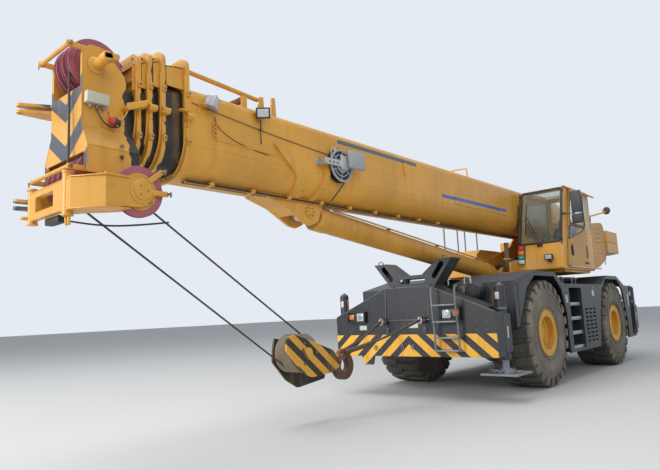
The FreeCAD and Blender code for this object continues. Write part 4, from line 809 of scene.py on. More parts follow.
# Superstructure
# The turntable's deep side plates carry the boom's foot, the lift cylinder and the winches. It is yellow like
# the boom and streaked with oil where the hoses run.
crane_yellow = (0.76, 0.375, 0.048, 1.0)
machine_yellow = coat("machine_yellow", crane_yellow, dust=0.22, rough=0.4, grime=0.45, edges=0.45)
oily_brown = coat("oily_brown", (0.16, 0.085, 0.03, 1.0), dust=0.3, rough=0.5, grime=0.6)
give(machine_yellow, "turntable", "valve_box")
parts = [
    bar(oily_brown, (0.33, -0.74, 2.12), (0.33, -0.74, 2.76), 0.048, 0.006),
    block(machine_yellow, (0.27, -0.8, 2.4), (0.39, -0.68, 2.43), 0.004),
    block(oily_brown, (-0.4, -0.6, 2.13), (-0.22, 0.2, 2.34), 0.012),
    block(black_plastic, (-0.4, 0.3, 2.13), (0.1, 0.7, 2.4), 0.015)]
for number in range(5):
    x = 0.22 + number * 0.03
    parts.append(pipe(hose_black, [(x, -0.6, 2.14), (x, -0.55, 2.32),
        (x + 0.01, -0.3, 2.44 + number * 0.015), (x, 0.1, 2.38), (x - 0.02, 0.5, 2.55),
        (x - 0.02, 0.9, 2.75)], 0.013))
plate_face = 0.457
foot_pin = (2.35, 3.3)
winch_places = ((3.5, 3.12), (3.01, 2.83))
for side in (-1, 1):
    face = side * plate_face
    parts += [
        turned(machine_yellow, [(0.0, 0.0), (0.0, 0.125), (side * 0.016, 0.125), (side * 0.022, 0.11),
            (side * 0.022, 0.0)], (face, *foot_pin), steps=48),
        bolts(nut_steel, circle_of(Vector((face, *foot_pin)), 0.095, 6, side * 0.022), (side, 0, 0), 0.012,
            0.01)]
    for y, z in winch_places:
        parts += [
            turned(machine_yellow, [(0.0, 0.0), (0.0, 0.155), (side * 0.02, 0.155), (side * 0.02, 0.0)],
                (face, y, z), steps=48),
            bolts(nut_steel, circle_of(Vector((face, y, z)), 0.125, 12, side * 0.02), (side, 0, 0), 0.01,
                0.008)]
parts += [pipe(tube_grey, [(-1.3, y, 2.7), (-1.3, y, 3.55), (-1.28, y + 0.04, 3.6), (-1.28, y + 0.6, 3.6),
    (-1.3, y + 0.64, 3.55), (-1.3, y + 0.64, 2.7)], 0.017) for y in (-0.45, 0.55)]
parts += [turned(black_plastic, [(0.0, 0.0), (0.0, 0.06), (0.03, 0.06), (0.034, 0.0)], (-0.9, y, 2.718),
    (0, 0, 1), steps=32) for y in (0.2, 1.3)]
for number in range(8):
    y = -0.3 + number * 0.11
    parts.append(block(machine_yellow, (-1.364, y, 2.3), (-1.352, y + 0.06, 2.58), 0.004))
assembled("turntable_fittings", parts, "superstructure", "boom_paint")

# Counterweight
# Two cast slabs bolted one on the other behind the winches, with lifting eyes, reflectors and tail lamps.
lens_yellow = coat("lens_yellow", (0.85, 0.5, 0.04, 1.0), dust=0.05, rough=0.25, grime=0.05, edges=0.0)
give(machine_yellow, "counterweight")
parts = []
for side in (-1, 1):
    for z in (2.76, 3.02):
        parts += [
            block(label_white, (side * 1.3795, 2.98, z - 0.05), (side * 1.386, 3.08, z + 0.05), 0.003),
            block(lens_yellow, (side * 1.3795, 3.2, z - 0.04), (side * 1.386, 3.29, z + 0.04))]
    for y in (2.95, 3.6):
        eye_arc = [(side * 1.08, y + 0.06 * math.cos(a), 3.15 + 0.075 * math.sin(a))
            for a in (math.pi * n / 8 for n in range(9))]
        parts.append(pipe(machine_yellow, eye_arc, 0.014))
    for x in (0.55, 0.85):
        parts.append(bolts(nut_steel, [(side * x, 3.985, z) for z in (2.75, 3.03)], (0, 1, 0), 0.022,
            0.016))
assembled("weight_fittings", parts, "superstructure", "boom_paint")

# Winches
# Two drums with flanged ends, wound full with wire rope, between the turntable's side plates.
rope_steel = coat("rope_steel", (0.16, 0.145, 0.125, 1.0), dust=0.35, rough=0.5, grime=0.6, metal=0.4,
    edges=0.0)
parts = []
turns, rope_pitch = 22, 0.0255
for y, z in winch_places:
    profile = [(-0.4245, 0.0), (-0.4245, 0.136), (-0.305, 0.136), (-0.305, 0.252), (-0.286, 0.252),
        (-0.286, 0.226)]
    for number in range(turns):
        middle = (number - (turns - 1) / 2) * rope_pitch
        profile += [(middle + offset * rope_pitch, 0.226 + rise * rope_pitch)
            for offset, rise in ((-0.32, 0.38), (0.0, 0.52), (0.32, 0.38), (0.5, 0.08))]
    profile += [(0.286, 0.226), (0.286, 0.252), (0.305, 0.252), (0.305, 0.136), (0.4245, 0.136),
        (0.4245, 0.0)]
    parts.append(turned(rope_steel, profile, (0, y, z), steps=56))
assembled("rope_drums", parts, "superstructure", "rope", "winches")

# Cab
# A welded steel cab, yellow, glazed with tinted panes in black rubber seals. Black guide rods stand clamped
# to both front pillars, a pair of arms carries the upright wiper and four lamps are bolted under the screen.
cab_yellow = coat("cab_yellow", crane_yellow, dust=0.14, rough=0.34, grime=0.25, edges=0.35)
# The cab door and the cover behind the cab take a darker, browner copy of the yellow with more dust. This is
# real dust, and also painted shade for the side that the light misses.
dusty_shaded_yellow = coat("dusty_shaded_yellow", (0.6, 0.32, 0.085, 1.0), dust=0.42, rough=0.5, grime=0.4, edges=0.35)
give(cab_yellow, "cab_shell")
give(dusty_shaded_yellow, "cab_door", "rear_cover")


def tinted_glass():
    pane = bpy.data.materials.new("tinted_glass")
    pane.use_nodes = True
    tree = pane.node_tree
    shader = tree.nodes["Principled BSDF"]
    smear = speckle(tree, 3.5, 7.0)
    tree.links.new(over(tree, ramp(tree, smear, 0.3, 0.7), (0.8, 0.9, 0.89, 1.0), (0.88, 0.93, 0.91, 1.0)),
        shader.inputs["Base Color"])
    tree.links.new(ramp(tree, smear, 0.45, 0.8, 0.0, 0.05), shader.inputs["Roughness"])
    shader.inputs["Transmission Weight"].default_value = 0.97
    shader.inputs["IOR"].default_value = 1.15
    bumps = tree.nodes.new("ShaderNodeBump")
    bumps.inputs["Strength"].default_value = 0.03
    bumps.inputs["Distance"].default_value = 0.001
    tree.links.new(smear, bumps.inputs["Height"])
    tree.links.new(bumps.outputs["Normal"], shader.inputs["Normal"])
    return pane


give(tinted_glass(), "cab_glass", "door_glass")
seal_rubber = coat("seal_rubber", (0.014, 0.014, 0.015, 1.0), dust=0.2, rough=0.5, grime=0.1, edges=0.0)


def rounded(points, radius=0.045, steps=4):
    """Outline with its corners rounded, in the plane of its points."""
    outline = []
    for index, corner in enumerate(points):
        corner = Vector(corner)
        before, after = Vector(points[index - 1]), Vector(points[(index + 1) % len(points)])
        start = corner + (before - corner).normalized() * radius
        end = corner + (after - corner).normalized() * radius
        for step in range(steps + 1):
            share = step / steps
            outline.append(start.lerp(corner, share).lerp(corner.lerp(end, share), share))
    return outline


def seal(points, radius=0.013):
    outline = rounded(points)
    return pipe(seal_rubber, outline + outline[:1], radius, curved=False)


def screen_y(z):
    """Front face of the cab at a height."""
    return -0.42 + (z - 2.68) * 0.2951 if z > 2.68 else -0.5 + (z - 2.13) * 0.1455


def on_screen(x, z, out=0.0):
    return (x, screen_y(z) - out, z)


parts = [
    seal([on_screen(0.505, 2.705), on_screen(1.355, 2.705), on_screen(1.355, 3.86), on_screen(0.505, 3.86)],
        0.022),
    seal([(1.392, y, z) for y, z in ((1.075, 2.98), (1.47, 2.98), (1.47, 3.84), (1.075, 3.84))], 0.009),
    seal([(0.458, -0.16, 2.89), (0.458, 1.43, 2.89), (0.458, 1.43, 3.84), (0.458, 0.13, 3.84)]),
    seal([(0.55, 1.502, 3.32), (1.31, 1.502, 3.32), (1.31, 1.502, 3.84), (0.55, 1.502, 3.84)]),
    seal([(0.55, 0.24, 3.912), (1.31, 0.24, 3.912), (1.31, 1.16, 3.928), (0.55, 1.16, 3.928)])]
for x in (0.474, 1.386):
    parts.append(bar(seal_rubber, on_screen(x, 2.64, 0.034), on_screen(x, 3.88, 0.034), 0.011, 0.002))
    for z in (2.74, 3.28, 3.8):
        parts.append(block(seal_rubber, (x - 0.018, screen_y(z) - 0.052, z - 0.02),
            (x + 0.018, screen_y(z) + 0.004, z + 0.02), 0.005))
parts += [
    pipe(seal_rubber, [on_screen(0.955, 2.655, 0.02), on_screen(0.955, 2.675, 0.045),
        on_screen(0.64, 3.3, 0.045)], 0.009, curved=False),
    pipe(seal_rubber, [on_screen(0.9, 2.655, 0.02), on_screen(0.9, 2.675, 0.045),
        on_screen(0.6, 3.24, 0.045)], 0.007, curved=False),
    pipe(seal_rubber, [on_screen(0.612, 3.225, 0.045), on_screen(0.64, 3.315, 0.045)], 0.012, curved=False),
    pipe(seal_rubber, [on_screen(0.618, 2.93, 0.018), on_screen(0.618, 3.62, 0.018)], 0.01, curved=False),
    block(seal_rubber, (0.87, screen_y(2.65) - 0.03, 2.63), (0.985, screen_y(2.65) + 0.005, 2.68), 0.008),
    block(tread_aluminium, (1.4425, -0.19, 2.166), (1.448, 1.48, 2.186), 0.002)]
for finish, low_z, high_z in ((red_lens, 2.585, 2.685), (amber, 2.485, 2.58), (green_lens, 2.385, 2.48),
        (lamp_glass, 2.29, 2.38)):
    y = screen_y((low_z + high_z) / 2)
    parts.append(block(finish, (0.47, y - 0.062, low_z), (0.6, y - 0.006, high_z), 0.014))
parts.append(block(black_plastic, (0.464, screen_y(2.48) - 0.03, 2.28),
    (0.606, screen_y(2.48) + 0.02, 2.692), 0.006))


def work_lamp(centre, towards, wide=0.15, tall=0.11, deep=0.085, shell=black_plastic):
    """Work lamp: a shell with a bezel, a clear lens and cooling ribs, turned to face a direction."""
    pieces = [
        block(shell, (-wide / 2, -tall / 2, -deep), (wide / 2, tall / 2, 0), 0.016),
        block(shell, (-wide / 2 - 0.006, -tall / 2 - 0.006, -0.014),
            (wide / 2 + 0.006, tall / 2 + 0.006, 0.004), 0.006),
        block(lamp_glass, (-wide / 2 + 0.012, -tall / 2 + 0.012, 0.0),
            (wide / 2 - 0.012, tall / 2 - 0.012, 0.01), 0.008)]
    for number in range(4):
        x = -wide / 2 + 0.02 + number * (wide - 0.052) / 3
        pieces.append(block(shell, (x, -tall / 2 + 0.01, -deep - 0.012),
            (x + 0.012, tall / 2 - 0.01, -deep + 0.004), 0.002))
    lamp_piece = joined(pieces)
    turn = Vector(towards).to_track_quat("Z", "Y").to_matrix().to_4x4()
    lamp_piece.data.transform(Matrix.Translation(centre) @ turn)
    return lamp_piece


parts += [
    work_lamp((1.13, screen_y(2.38) - 0.11, 2.385), (0.05, -1, -0.15)),
    block(black_plastic, (1.11, screen_y(2.3) - 0.075, 2.285), (1.15, screen_y(2.3) + 0.004, 2.327), 0.006),
    pipe(black_plastic, [(1.13, screen_y(2.3) - 0.06, 2.305), (1.13, screen_y(2.35) - 0.07, 2.355)], 0.012)]
assembled("cab_fittings", parts, "superstructure", "cab_paint")
panes = (((-0.03, 3.095), (0.16, 3.79), (0.93, 3.79), (0.93, 3.095)),
    ((-0.17, 2.75), (-0.06, 3.06), (0.89, 3.06), (0.705, 2.975)))
parts = [seal([(1.4425, *corner) for corner in pane], 0.011) for pane in panes]
parts += [
    block(seal_rubber, (1.44, -0.072, 2.405), (1.4695, -0.018, 2.635), 0.012),
    block(seal_rubber, (1.44, -0.1, 2.44), (1.448, 0.01, 2.6), 0.004),
    block(carrier_grey, (1.44, 0.88, 2.39), (1.45, 0.972, 2.67), 0.004),
    block(seal_rubber, (1.44, 0.7, 2.262), (1.45, 0.972, 2.302), 0.004)]
for number in range(5):
    z = 2.415 + number * 0.05
    parts.append(block(tube_grey, (1.448, 0.89, z), (1.454, 0.962, z + 0.02), 0.002))
assembled("door_fittings", parts, "door", "cab_paint")

# Driver's place
# A high-backed sprung seat in black cloth with two arm rests and levers, a moulded console and a tilting
# column with a three-spoked wheel.
seat_cloth = coat("seat_cloth", (0.05, 0.05, 0.052, 1.0), dust=0.35, rough=0.9, grime=0.1, edges=0.0)
console_grey = coat("console_grey", (0.16, 0.165, 0.16, 1.0), dust=0.3, rough=0.6, grime=0.2, edges=0.2)
x = 0.93


def cushion(low, high):
    """Stuffed cushion with deep round edges."""
    return block(seat_cloth, low, high, min(Vector(high) - Vector(low)) * 0.38, rounds=5)


back = joined([cushion((-0.24, -0.055, 0.0), (0.24, 0.065, 0.58)),
    cushion((-0.13, -0.045, 0.56), (0.13, 0.045, 0.78)), cushion((-0.245, -0.085, 0.05),
    (-0.15, 0.045, 0.52)), cushion((0.15, -0.085, 0.05), (0.245, 0.045, 0.52))])
back.data.transform(Matrix.Translation((x, 1.06, 2.6)) @ Matrix.Rotation(math.radians(-12), 4, "X"))
parts = [
    back,
    cushion((x - 0.25, 0.64, 2.48), (x + 0.25, 1.08, 2.61)),
    block(console_grey, (x - 0.17, 0.74, 2.176), (x + 0.17, 1.08, 2.48), 0.02),
    block(console_grey, (0.57, -0.33, 2.176), (1.28, -0.11, 2.56), 0.05),
    block(console_grey, (0.62, -0.29, 2.54), (1.23, -0.08, 2.64), 0.04)]
for end in (-1, 1):
    parts += [
        block(console_grey, (x + end * 0.32 - 0.055, 0.56, 2.48), (x + end * 0.32 + 0.055, 1.0, 2.7), 0.03),
        bar(seat_cloth, (x + end * 0.32, 0.64, 2.69), (x + end * 0.32, 0.61, 2.84), 0.014, 0.003),
        bar(seat_cloth, (x + end * 0.32, 0.612, 2.83), (x + end * 0.32, 0.598, 2.9), 0.026, 0.01)]
hub = Vector((x, 0.234, 2.83))
lean = Vector((0, 0.174, 0.64)).normalized()
parts.append(bar(console_grey, hub - lean * 0.64, hub, 0.04, 0.008))
bpy.ops.mesh.primitive_torus_add(major_radius=0.188, minor_radius=0.0125, major_segments=48,
    minor_segments=10, location=hub + lean * 0.012, rotation=lean.to_track_quat("Z", "Y").to_euler())
parts.append(settled(bpy.context.object, seat_cloth))
for angle in (math.radians(90 + 120 * number) for number in range(3)):
    spoke = Vector((math.cos(angle), 0, 0)) + Vector((0, 0.965, -0.262)) * math.sin(angle)
    parts.append(bar(seat_cloth, hub + lean * 0.012, hub + lean * 0.012 + spoke * 0.186, 0.009))
assembled("drivers_place", parts, "superstructure", "trim", "cab_interior")

# Cover behind the cab
# Pressed louvres, a seam and two latches on the hood over the hydraulics.
parts = []
# The louvres take the darker yellow too, with its painted shade.
for row in range(4):
    z = 2.79 + row * 0.11
    parts.append(lofted(dusty_shaded_yellow, [[(1.39, y, z + 0.02), (1.39, y, z + 0.036), (1.401, y, z + 0.018),
        (1.399, y, z + 0.008)] for y in (1.69, 2.16)], 0.002))
for z in (2.3, 2.48):
    parts.append(block(seal_rubber, (1.39, 2.35, z), (1.401, 2.385, z + 0.08), 0.004))
parts += [
    pipe(seal_rubber, [(1.396, 1.506, 2.19), (1.396, 1.506, 3.225)], 0.005, curved=False),
    pipe(seal_rubber, [(1.397, 1.51, 2.56), (1.397, 2.44, 2.56)], 0.004, curved=False)]
assembled("cover_louvres", parts, "superstructure", "boom_paint")

# Mirrors
# Two black plastic mirrors on a round post off the front pillar, and a round one on a long arm behind the
# cab.
silver = coat("silver", (0.75, 0.77, 0.78, 1.0), dust=0.05, rough=0.05, grime=0.0, edges=0.0, metal=1.0)
mirror_black = coat("mirror_black", (0.045, 0.047, 0.052, 1.0), dust=0.3, rough=0.6, grime=0.1, edges=0.2)
parts = [
    block(mirror_black, (1.505, -0.05, 3.3), (1.72, 0.02, 3.76), 0.026),
    block(silver, (1.522, 0.016, 3.32), (1.703, 0.0215, 3.74), 0.002),
    block(mirror_black, (1.495, -0.05, 3.07), (1.712, 0.02, 3.27), 0.026),
    block(silver, (1.512, 0.016, 3.088), (1.695, 0.0215, 3.252), 0.002),
    block(mirror_black, (1.4, -0.245, 3.25), (1.418, -0.185, 3.31), 0.005),
    pipe(mirror_black, [(1.415, -0.215, 3.28), (1.47, -0.14, 3.284), (1.548, -0.015, 3.285)], 0.011),
    bar(mirror_black, (1.548, -0.015, 3.1), (1.548, -0.015, 3.7), 0.014, 0.003),
    block(cab_yellow, (1.31, 1.5, 3.35), (1.37, 1.516, 3.41), 0.004),
    pipe(machine_yellow, [(1.34, 1.51, 3.38), (1.35, 2.2, 3.515), (1.36, 2.95, 3.65)], 0.02),
    pipe(seal_rubber, [(1.35, 1.7, 3.4), (1.352, 1.72, 3.3), (1.345, 1.66, 3.25)], 0.01),
    block(cab_yellow, (1.336, 2.74, 3.62), (1.372, 2.79, 3.7), 0.006),
    turned(mirror_black, [(-0.022, 0.0), (-0.022, 0.07), (0.0, 0.095), (0.016, 0.095), (0.016, 0.0)],
        (1.37, 3.0, 3.69), (0.25, 1, 0), steps=40),
    turned(silver, [(0.01, 0.0), (0.01, 0.088), (0.019, 0.088), (0.019, 0.0)], (1.37, 3.0, 3.69),
        (0.25, 1, 0), steps=40)]
assembled("mirror_pair", parts, "superstructure", "trim", "mirrors")

# Boom
# Five sections of folded steel plate, round-bellied, one inside the other. The base has plain grey and blue
# stripes on its sides, and black grease lies thick on the sliding sections behind each collar.
stripe_grey, stripe_blue = (0.085, 0.13, 0.165, 1.0), (0.035, 0.13, 0.52, 1.0)
grease_black = (0.012, 0.011, 0.01, 1.0)


def side_stripe(y_low, y_high, z_low, z_high):
    def lies(tree):
        x, y, z = coordinates(tree)
        on_side = maths(tree, "GREATER_THAN", maths(tree, "ABSOLUTE", x), 0.405)
        along = between(tree, y, wheelbase_middle + y_low, wheelbase_middle + y_high)
        return maths(tree, "MULTIPLY", on_side, maths(tree, "MULTIPLY", along,
            between(tree, z, z_low, z_high)))
    return lies


def greased(y_low, y_high):
    def lies(tree):
        ragged = maths(tree, "ADD", coordinates(tree)[1], ramp(tree, speckle(tree, 7.0, 6.0), 0.2, 0.8,
            -0.03, 0.05))
        return between(tree, ragged, wheelbase_middle + y_low, wheelbase_middle + y_high)
    return lies


boom_yellow = coat("boom_yellow", crane_yellow, dust=0.2, rough=0.36, grime=0.3, edges=0.4,
    marks=[(stripe_grey, side_stripe(-6.22, -4.19, 3.82, 3.88)),
    (stripe_blue, side_stripe(-3.4, -0.79, 3.4, 3.46))])
give(boom_yellow, "boom_base")
collar_fronts, head_back = (-8.75, -9.02, -9.15, -9.26), -9.345
for name, front in zip(("boom_2", "boom_3", "boom_4"), collar_fronts[1:]):
    give(coat(f"{name}_paint", crane_yellow, dust=0.15, rough=0.32, grime=0.5, edges=0.4,
        marks=[(grease_black, greased(front + 0.055, front + 0.34))]), name)
doublers = []
for low_y, high_y, low_z, high_z in ((-2.95, -1.22, 3.33, 3.5), (-1.15, -0.2, 3.33, 3.72)):
    plate = [(0.0, low_y, low_z), (0.0, high_y, low_z), (0.0, high_y, high_z), (0.0, low_y, high_z)]
    doublers.append(rounded(plate, 0.05))
parts = []
for side in (-1, 1):
    parts += [
        pipe(boom_yellow, [(side * 0.4095, -8.7, 3.318), (side * 0.4095, 2.36, 3.318)], 0.005, curved=False),
        pipe(boom_yellow, [(side * 0.4095, -6.4, 3.56), (side * 0.4095, -3.9, 3.56)], 0.003, curved=False)]
    for doubler in doublers:
        parts.append(sheet_metal(boom_yellow, [place.yz for place in doubler], "x", side * 0.409,
            side * 0.416, 0.0))
    for y in (-4.55, -0.1):
        parts.append(lofted(boom_yellow, [[(side * 0.41, y - 0.02, 3.6), (side * 0.41, y + 0.02, 3.6),
            (side * 0.41, y + 0.02, 3.85), (side * 0.41, y - 0.02, 3.85)],
            [(side * 0.44, y - 0.02, 3.62), (side * 0.44, y + 0.02, 3.62), (side * 0.44, y + 0.02, 3.84),
            (side * 0.44, y - 0.02, 3.84)]], 0.003))
parts += [
    pipe(boom_yellow, [(0.36, -2.3, 3.96), (0.36, -2.3, 4.1), (0.34, -2.3, 4.13), (-0.34, -2.3, 4.13),
        (-0.36, -2.3, 4.1), (-0.36, -2.3, 3.96)], 0.016),
    bar(boom_yellow, (0.3, -8.7, 4.2), (0.3, -7.6, 4.13), 0.028, 0.006),
    bar(boom_yellow, (-0.3, -8.7, 4.2), (-0.3, -7.6, 4.13), 0.028, 0.006),
    bar(rust, (-0.32, -7.86, 4.06), (0.32, -7.86, 4.06), 0.042, 0.008)]
for side in (-1, 1):
    for y, top in ((-7.62, 4.16), (-7.42, 4.2)):
        parts.append(lofted(boom_yellow, [[(side * 0.33, y, 3.86), (side * 0.33, y + 0.09, 3.86),
            (side * 0.33, y + 0.07, top), (side * 0.33, y + 0.01, top)],
            [(side * 0.36, y, 3.86), (side * 0.36, y + 0.09, 3.86), (side * 0.36, y + 0.07, top),
            (side * 0.36, y + 0.01, top)]], 0.006))
    parts.append(block(boom_yellow, (side * 0.345 - 0.016, -7.9, 3.94), (side * 0.345 + 0.016, -7.82, 4.1),
        0.006))
parts += [
    pipe(wire_rope, [(0.42, -8.66, 3.79), (0.43, -8.3, 3.745), (0.425, -7.2, 3.65), (0.42, -6.46, 3.615)],
        0.005),
    pipe(wire_rope, [(0.425, -8.36, 3.7), (0.416, -8.34, 3.46), (0.416, -7.55, 3.4)], 0.004),
    pipe(boom_yellow, [(0.413, -8.36, 3.44), (0.413, -7.4, 3.425)], 0.01, curved=False)]
for number in range(3):
    z = 3.6 - number * 0.052
    parts.append(washer(boom_yellow, 0.006, 0.018, 0.03, (0.428, -8.36, z),
        (1, 0.6 if number % 2 else -0.2, 0), steps=20))
for number in range(9):
    y = -8.3 + number * 0.62
    parts.append(block(boom_yellow, (0.1, y, 2.945), (0.26, y + 0.05, 2.99), 0.006))
for number in range(4):
    parts.append(pipe(hose_black if number % 2 else boom_yellow,
        [(0.11 + number * 0.035, -8.6, 2.962), (0.11 + number * 0.035, -5.0, 2.958),
        (0.1 + number * 0.03, -1.4, 2.955), (0.08, 1.6, 2.96)], 0.012))
for y, z in ((-7.02, 3.02), (-6.63, 3.1)):
    parts.append(bolts(nut_steel, [(0.452, y, z)], (1, 0, 0), 0.016, 0.012))
eye_ring = circle_of(Vector((0.0, -6.6, 2.832)), 0.055, 6, 0.205)
parts += [
    bolts(nut_steel, eye_ring, (1, 0, 0), 0.01, 0.01),
    bolts(nut_steel, [(-x, y, z) for x, y, z in eye_ring], (-1, 0, 0), 0.01, 0.01)]
assembled("boom_brackets", parts, "boom", "boom_paint")

# Cable reel and boom lamps
# The load indicator's sprung cable reel on a galvanised arm, its plain grey case and two work lamps.
galvanised = coat("galvanised", (0.48, 0.49, 0.49, 1.0), dust=0.15, rough=0.4, grime=0.3, metal=0.6)
case_grey = coat("case_grey", (0.4, 0.41, 0.43, 1.0), dust=0.15, rough=0.55, grime=0.3, edges=0.3)
reel = Vector((0.0, -6.26, 3.47))
parts = [
    turned(black_plastic, [(0.425, 0.0), (0.425, 0.23), (0.431, 0.235), (0.437, 0.23), (0.437, 0.15),
        (0.455, 0.146), (0.455, 0.0)], (0, *reel.yz), steps=64),
    turned(hose_black, [(0.455, 0.1), (0.455, 0.195), (0.463, 0.205), (0.471, 0.195), (0.479, 0.205),
        (0.487, 0.195), (0.495, 0.205), (0.503, 0.195), (0.503, 0.1)], (0, *reel.yz), steps=64),
    turned(case_grey, [(0.505, 0.205), (0.503, 0.235), (0.515, 0.235), (0.517, 0.205)], (0, *reel.yz),
        steps=64),
    turned(case_grey, [(0.503, 0.0), (0.503, 0.105), (0.52, 0.105), (0.53, 0.07), (0.545, 0.07),
        (0.545, 0.0)], (0, *reel.yz), steps=48)]
for number in range(3):
    radius = 0.125 + number * 0.028
    parts.append(turned(galvanised if number % 2 else black_plastic,
        [(0.503, radius - 0.008), (0.503, radius + 0.008), (0.512, radius + 0.006),
        (0.512, radius - 0.006)], (0, *reel.yz), steps=56))
for angle in (math.radians(25 + 60 * number) for number in range(6)):
    spoke = Vector((0, math.cos(angle), math.sin(angle)))
    parts.append(bar(case_grey, Vector((0.512, 0, 0)) + reel + spoke * 0.09,
        Vector((0.512, 0, 0)) + reel + spoke * 0.215, 0.007))
parts += [
    block(galvanised, (0.546, -6.64, 3.43), (0.556, -6.1, 3.52), 0.003),
    block(galvanised, (0.41, -6.65, 3.43), (0.556, -6.638, 3.52), 0.003),
    block(galvanised, (0.41, -6.7, 3.425), (0.42, -6.64, 3.525), 0.003),
    block(galvanised, (0.54, -6.33, 3.4), (0.562, -6.19, 3.6), 0.006),
    block(case_grey, (0.556, -6.185, 3.44), (0.61, -5.85, 3.69), 0.012),
    block(case_grey, (0.604, -6.172, 3.452), (0.6145, -5.862, 3.678), 0.004),
    pipe(galvanised, [(0.5, -6.42, 3.52), (0.5, -6.4, 3.68), (0.5, -6.34, 3.735), (0.5, -6.28, 3.72)],
        0.006),
    pipe(galvanised, [(0.48, -6.46, 3.52), (0.48, -6.44, 3.68), (0.48, -6.38, 3.745), (0.48, -6.3, 3.73)],
        0.006),
    pipe(hose_black, [(0.5, -6.2, 3.26), (0.48, -6.26, 3.16), (0.44, -6.4, 3.0), (0.42, -6.42, 2.96)],
        0.009)]
for y in (-6.56, -6.48, -6.4):
    parts.append(turned(black_plastic, [(0.5555, 0.0), (0.5555, 0.014), (0.5575, 0.014), (0.5575, 0.0)],
        (0, y, 3.475), steps=20))
parts += [
    work_lamp((0.555, -8.43, 3.8), (0.75, 0.6, -0.3), 0.17, 0.13, 0.095, galvanised),
    block(boom_yellow, (0.41, -8.58, 3.77), (0.52, -8.42, 3.79), 0.004),
    block(boom_yellow, (0.408, -8.58, 3.7), (0.42, -8.42, 3.79), 0.004),
    work_lamp((0.53, -7.72, 3.87), (0.7, -0.66, -0.28), 0.16, 0.12, 0.085),
    block(boom_yellow, (0.408, -7.7, 3.7), (0.425, -7.62, 4.02), 0.005),
    block(boom_yellow, (0.41, -7.7, 3.83), (0.48, -7.64, 3.85), 0.004),
    bolts(nut_steel, [(0.425, -7.66, 3.72), (0.425, -7.66, 3.76)], (1, 0, 0), 0.012, 0.01),
    pipe(hose_black, [(0.44, -7.68, 3.82), (0.43, -7.68, 3.66), (0.42, -7.66, 3.52)], 0.006)]
assembled("reel_and_lamps", parts, "boom", "boom_paint", "boom_fittings")

# Collar fittings
# Bolted wear pads, adjusting screws and rope and hose guides on the tall collars at the end of each section.
section_bodies = ("boom", "section_2", "section_3", "section_4")
for index, (front, body) in enumerate(zip(collar_fronts, section_bodies)):
    half, top, bottom = 0.41 - 0.038 * index, 3.975 - 0.038 * index, 2.985 + 0.038 * index
    fin_top = top + (0.31 if index == 0 else 0.355)
    face = half + 0.035
    parts = []
    for side in (-1, 1):
        for z in (3.86, 3.32):
            parts += [
                block(machine_yellow, (side * face, front + 0.004, z - 0.035),
                    (side * (face + 0.03), front + 0.041, z + 0.035), 0.006),
                bolts(nut_steel, [(side * (face + 0.03), front + 0.022, z)], (side, 0, 0), 0.014, 0.022)]
        parts.append(pipe(machine_yellow, [(side * (half + 0.022), front - 0.002, top + 0.1),
            (side * (half + 0.022), front - 0.002, bottom + 0.42),
            (side * (half - 0.06), front - 0.002, bottom + 0.14),
            (side * (half - 0.2), front - 0.002, bottom + 0.02)], 0.01))
    ahead = (*collar_fronts, head_back)[index + 1] + 0.061
    hood_half, hood_low, hood_high = half - 0.018, top + 0.046, fin_top - 0.115
    parts.append(lofted(machine_yellow, [[(-hood_half, y, high - 0.012), (hood_half, y, high - 0.012),
        (hood_half, y, high), (-hood_half, y, high)] for y, high in ((ahead, hood_high - 0.03),
        (front + 0.002, hood_high))]))
    for x in (-hood_half, hood_half - 0.01):
        parts.append(lofted(machine_yellow, [[(x, y, hood_low), (x + 0.01, y, hood_low),
            (x + 0.01, y, high - 0.004), (x, y, high - 0.004)] for y, high in ((ahead, hood_high - 0.03),
            (front + 0.002, hood_high))]))
    parts += [
        bolts(nut_steel, [(x, front, fin_top - 0.05) for x in (-0.24, 0.24)], (0, -1, 0), 0.014, 0.012),
        bolts(nut_steel, [(x, front, bottom + 0.005) for x in (-0.12, -0.05, 0.05, 0.12)], (0, -1, 0),
            0.012, 0.01)]
    level = 3.56 + 0.012 * index
    parts += [
        block(machine_yellow, (face, front - 0.03, level), (face + 0.075, front + 0.06, level + 0.014),
            0.003),
        block(machine_yellow, (face, front + 0.01, level - 0.075),
            (face + 0.014, front + 0.036, level + 0.075), 0.003),
        washer(machine_yellow, 0.045, 0.016, 0.026, (face + 0.055, front + 0.015, level + 0.038), (0, 1, 0),
            steps=20)]
    if index == 0:
        parts.append(block(machine_yellow, (0.445, -8.86, 3.64), (0.505, -8.752, 3.655), 0.003))
    assembled(f"collar_fittings_{index + 1}", parts, body, "boom_paint")

# Boom head
# Folded side plates round the sheaves, with dark chevrons pointing down its front, a pinned fork on a boss, a
# plain cream junction box on three glands and a red beacon on a black foot.
chevron_foot, chevron_top, chevron_slant = 1.3, 3.8, 0.68
chevron_period, chevron_share = 0.42, 0.44
head_front = -9.826


def chevrons(tree):
    x, y, z = coordinates(tree)
    slant = maths(tree, "MULTIPLY", maths(tree, "ABSOLUTE", x), chevron_slant)
    rise = maths(tree, "SUBTRACT", maths(tree, "SUBTRACT", z, slant), chevron_foot)
    dark = maths(tree, "LESS_THAN", maths(tree, "FRACT", maths(tree, "DIVIDE", rise, chevron_period)),
        chevron_share)
    ahead = maths(tree, "LESS_THAN", y, wheelbase_middle + head_front - 0.0025)
    return maths(tree, "MULTIPLY", maths(tree, "MULTIPLY", dark, ahead),
        maths(tree, "LESS_THAN", z, chevron_top))


head_yellow = coat("head_yellow", crane_yellow, dust=0.18, rough=0.36, grime=0.35, edges=0.45,
    marks=[((0.045, 0.058, 0.08, 1.0), chevrons), (grease_black, greased(-9.385, -9.02))])
give(head_yellow, "boom_head")
cream = coat("cream", (0.62, 0.62, 0.47, 1.0), dust=0.15, rough=0.5, grime=0.2, edges=0.1)


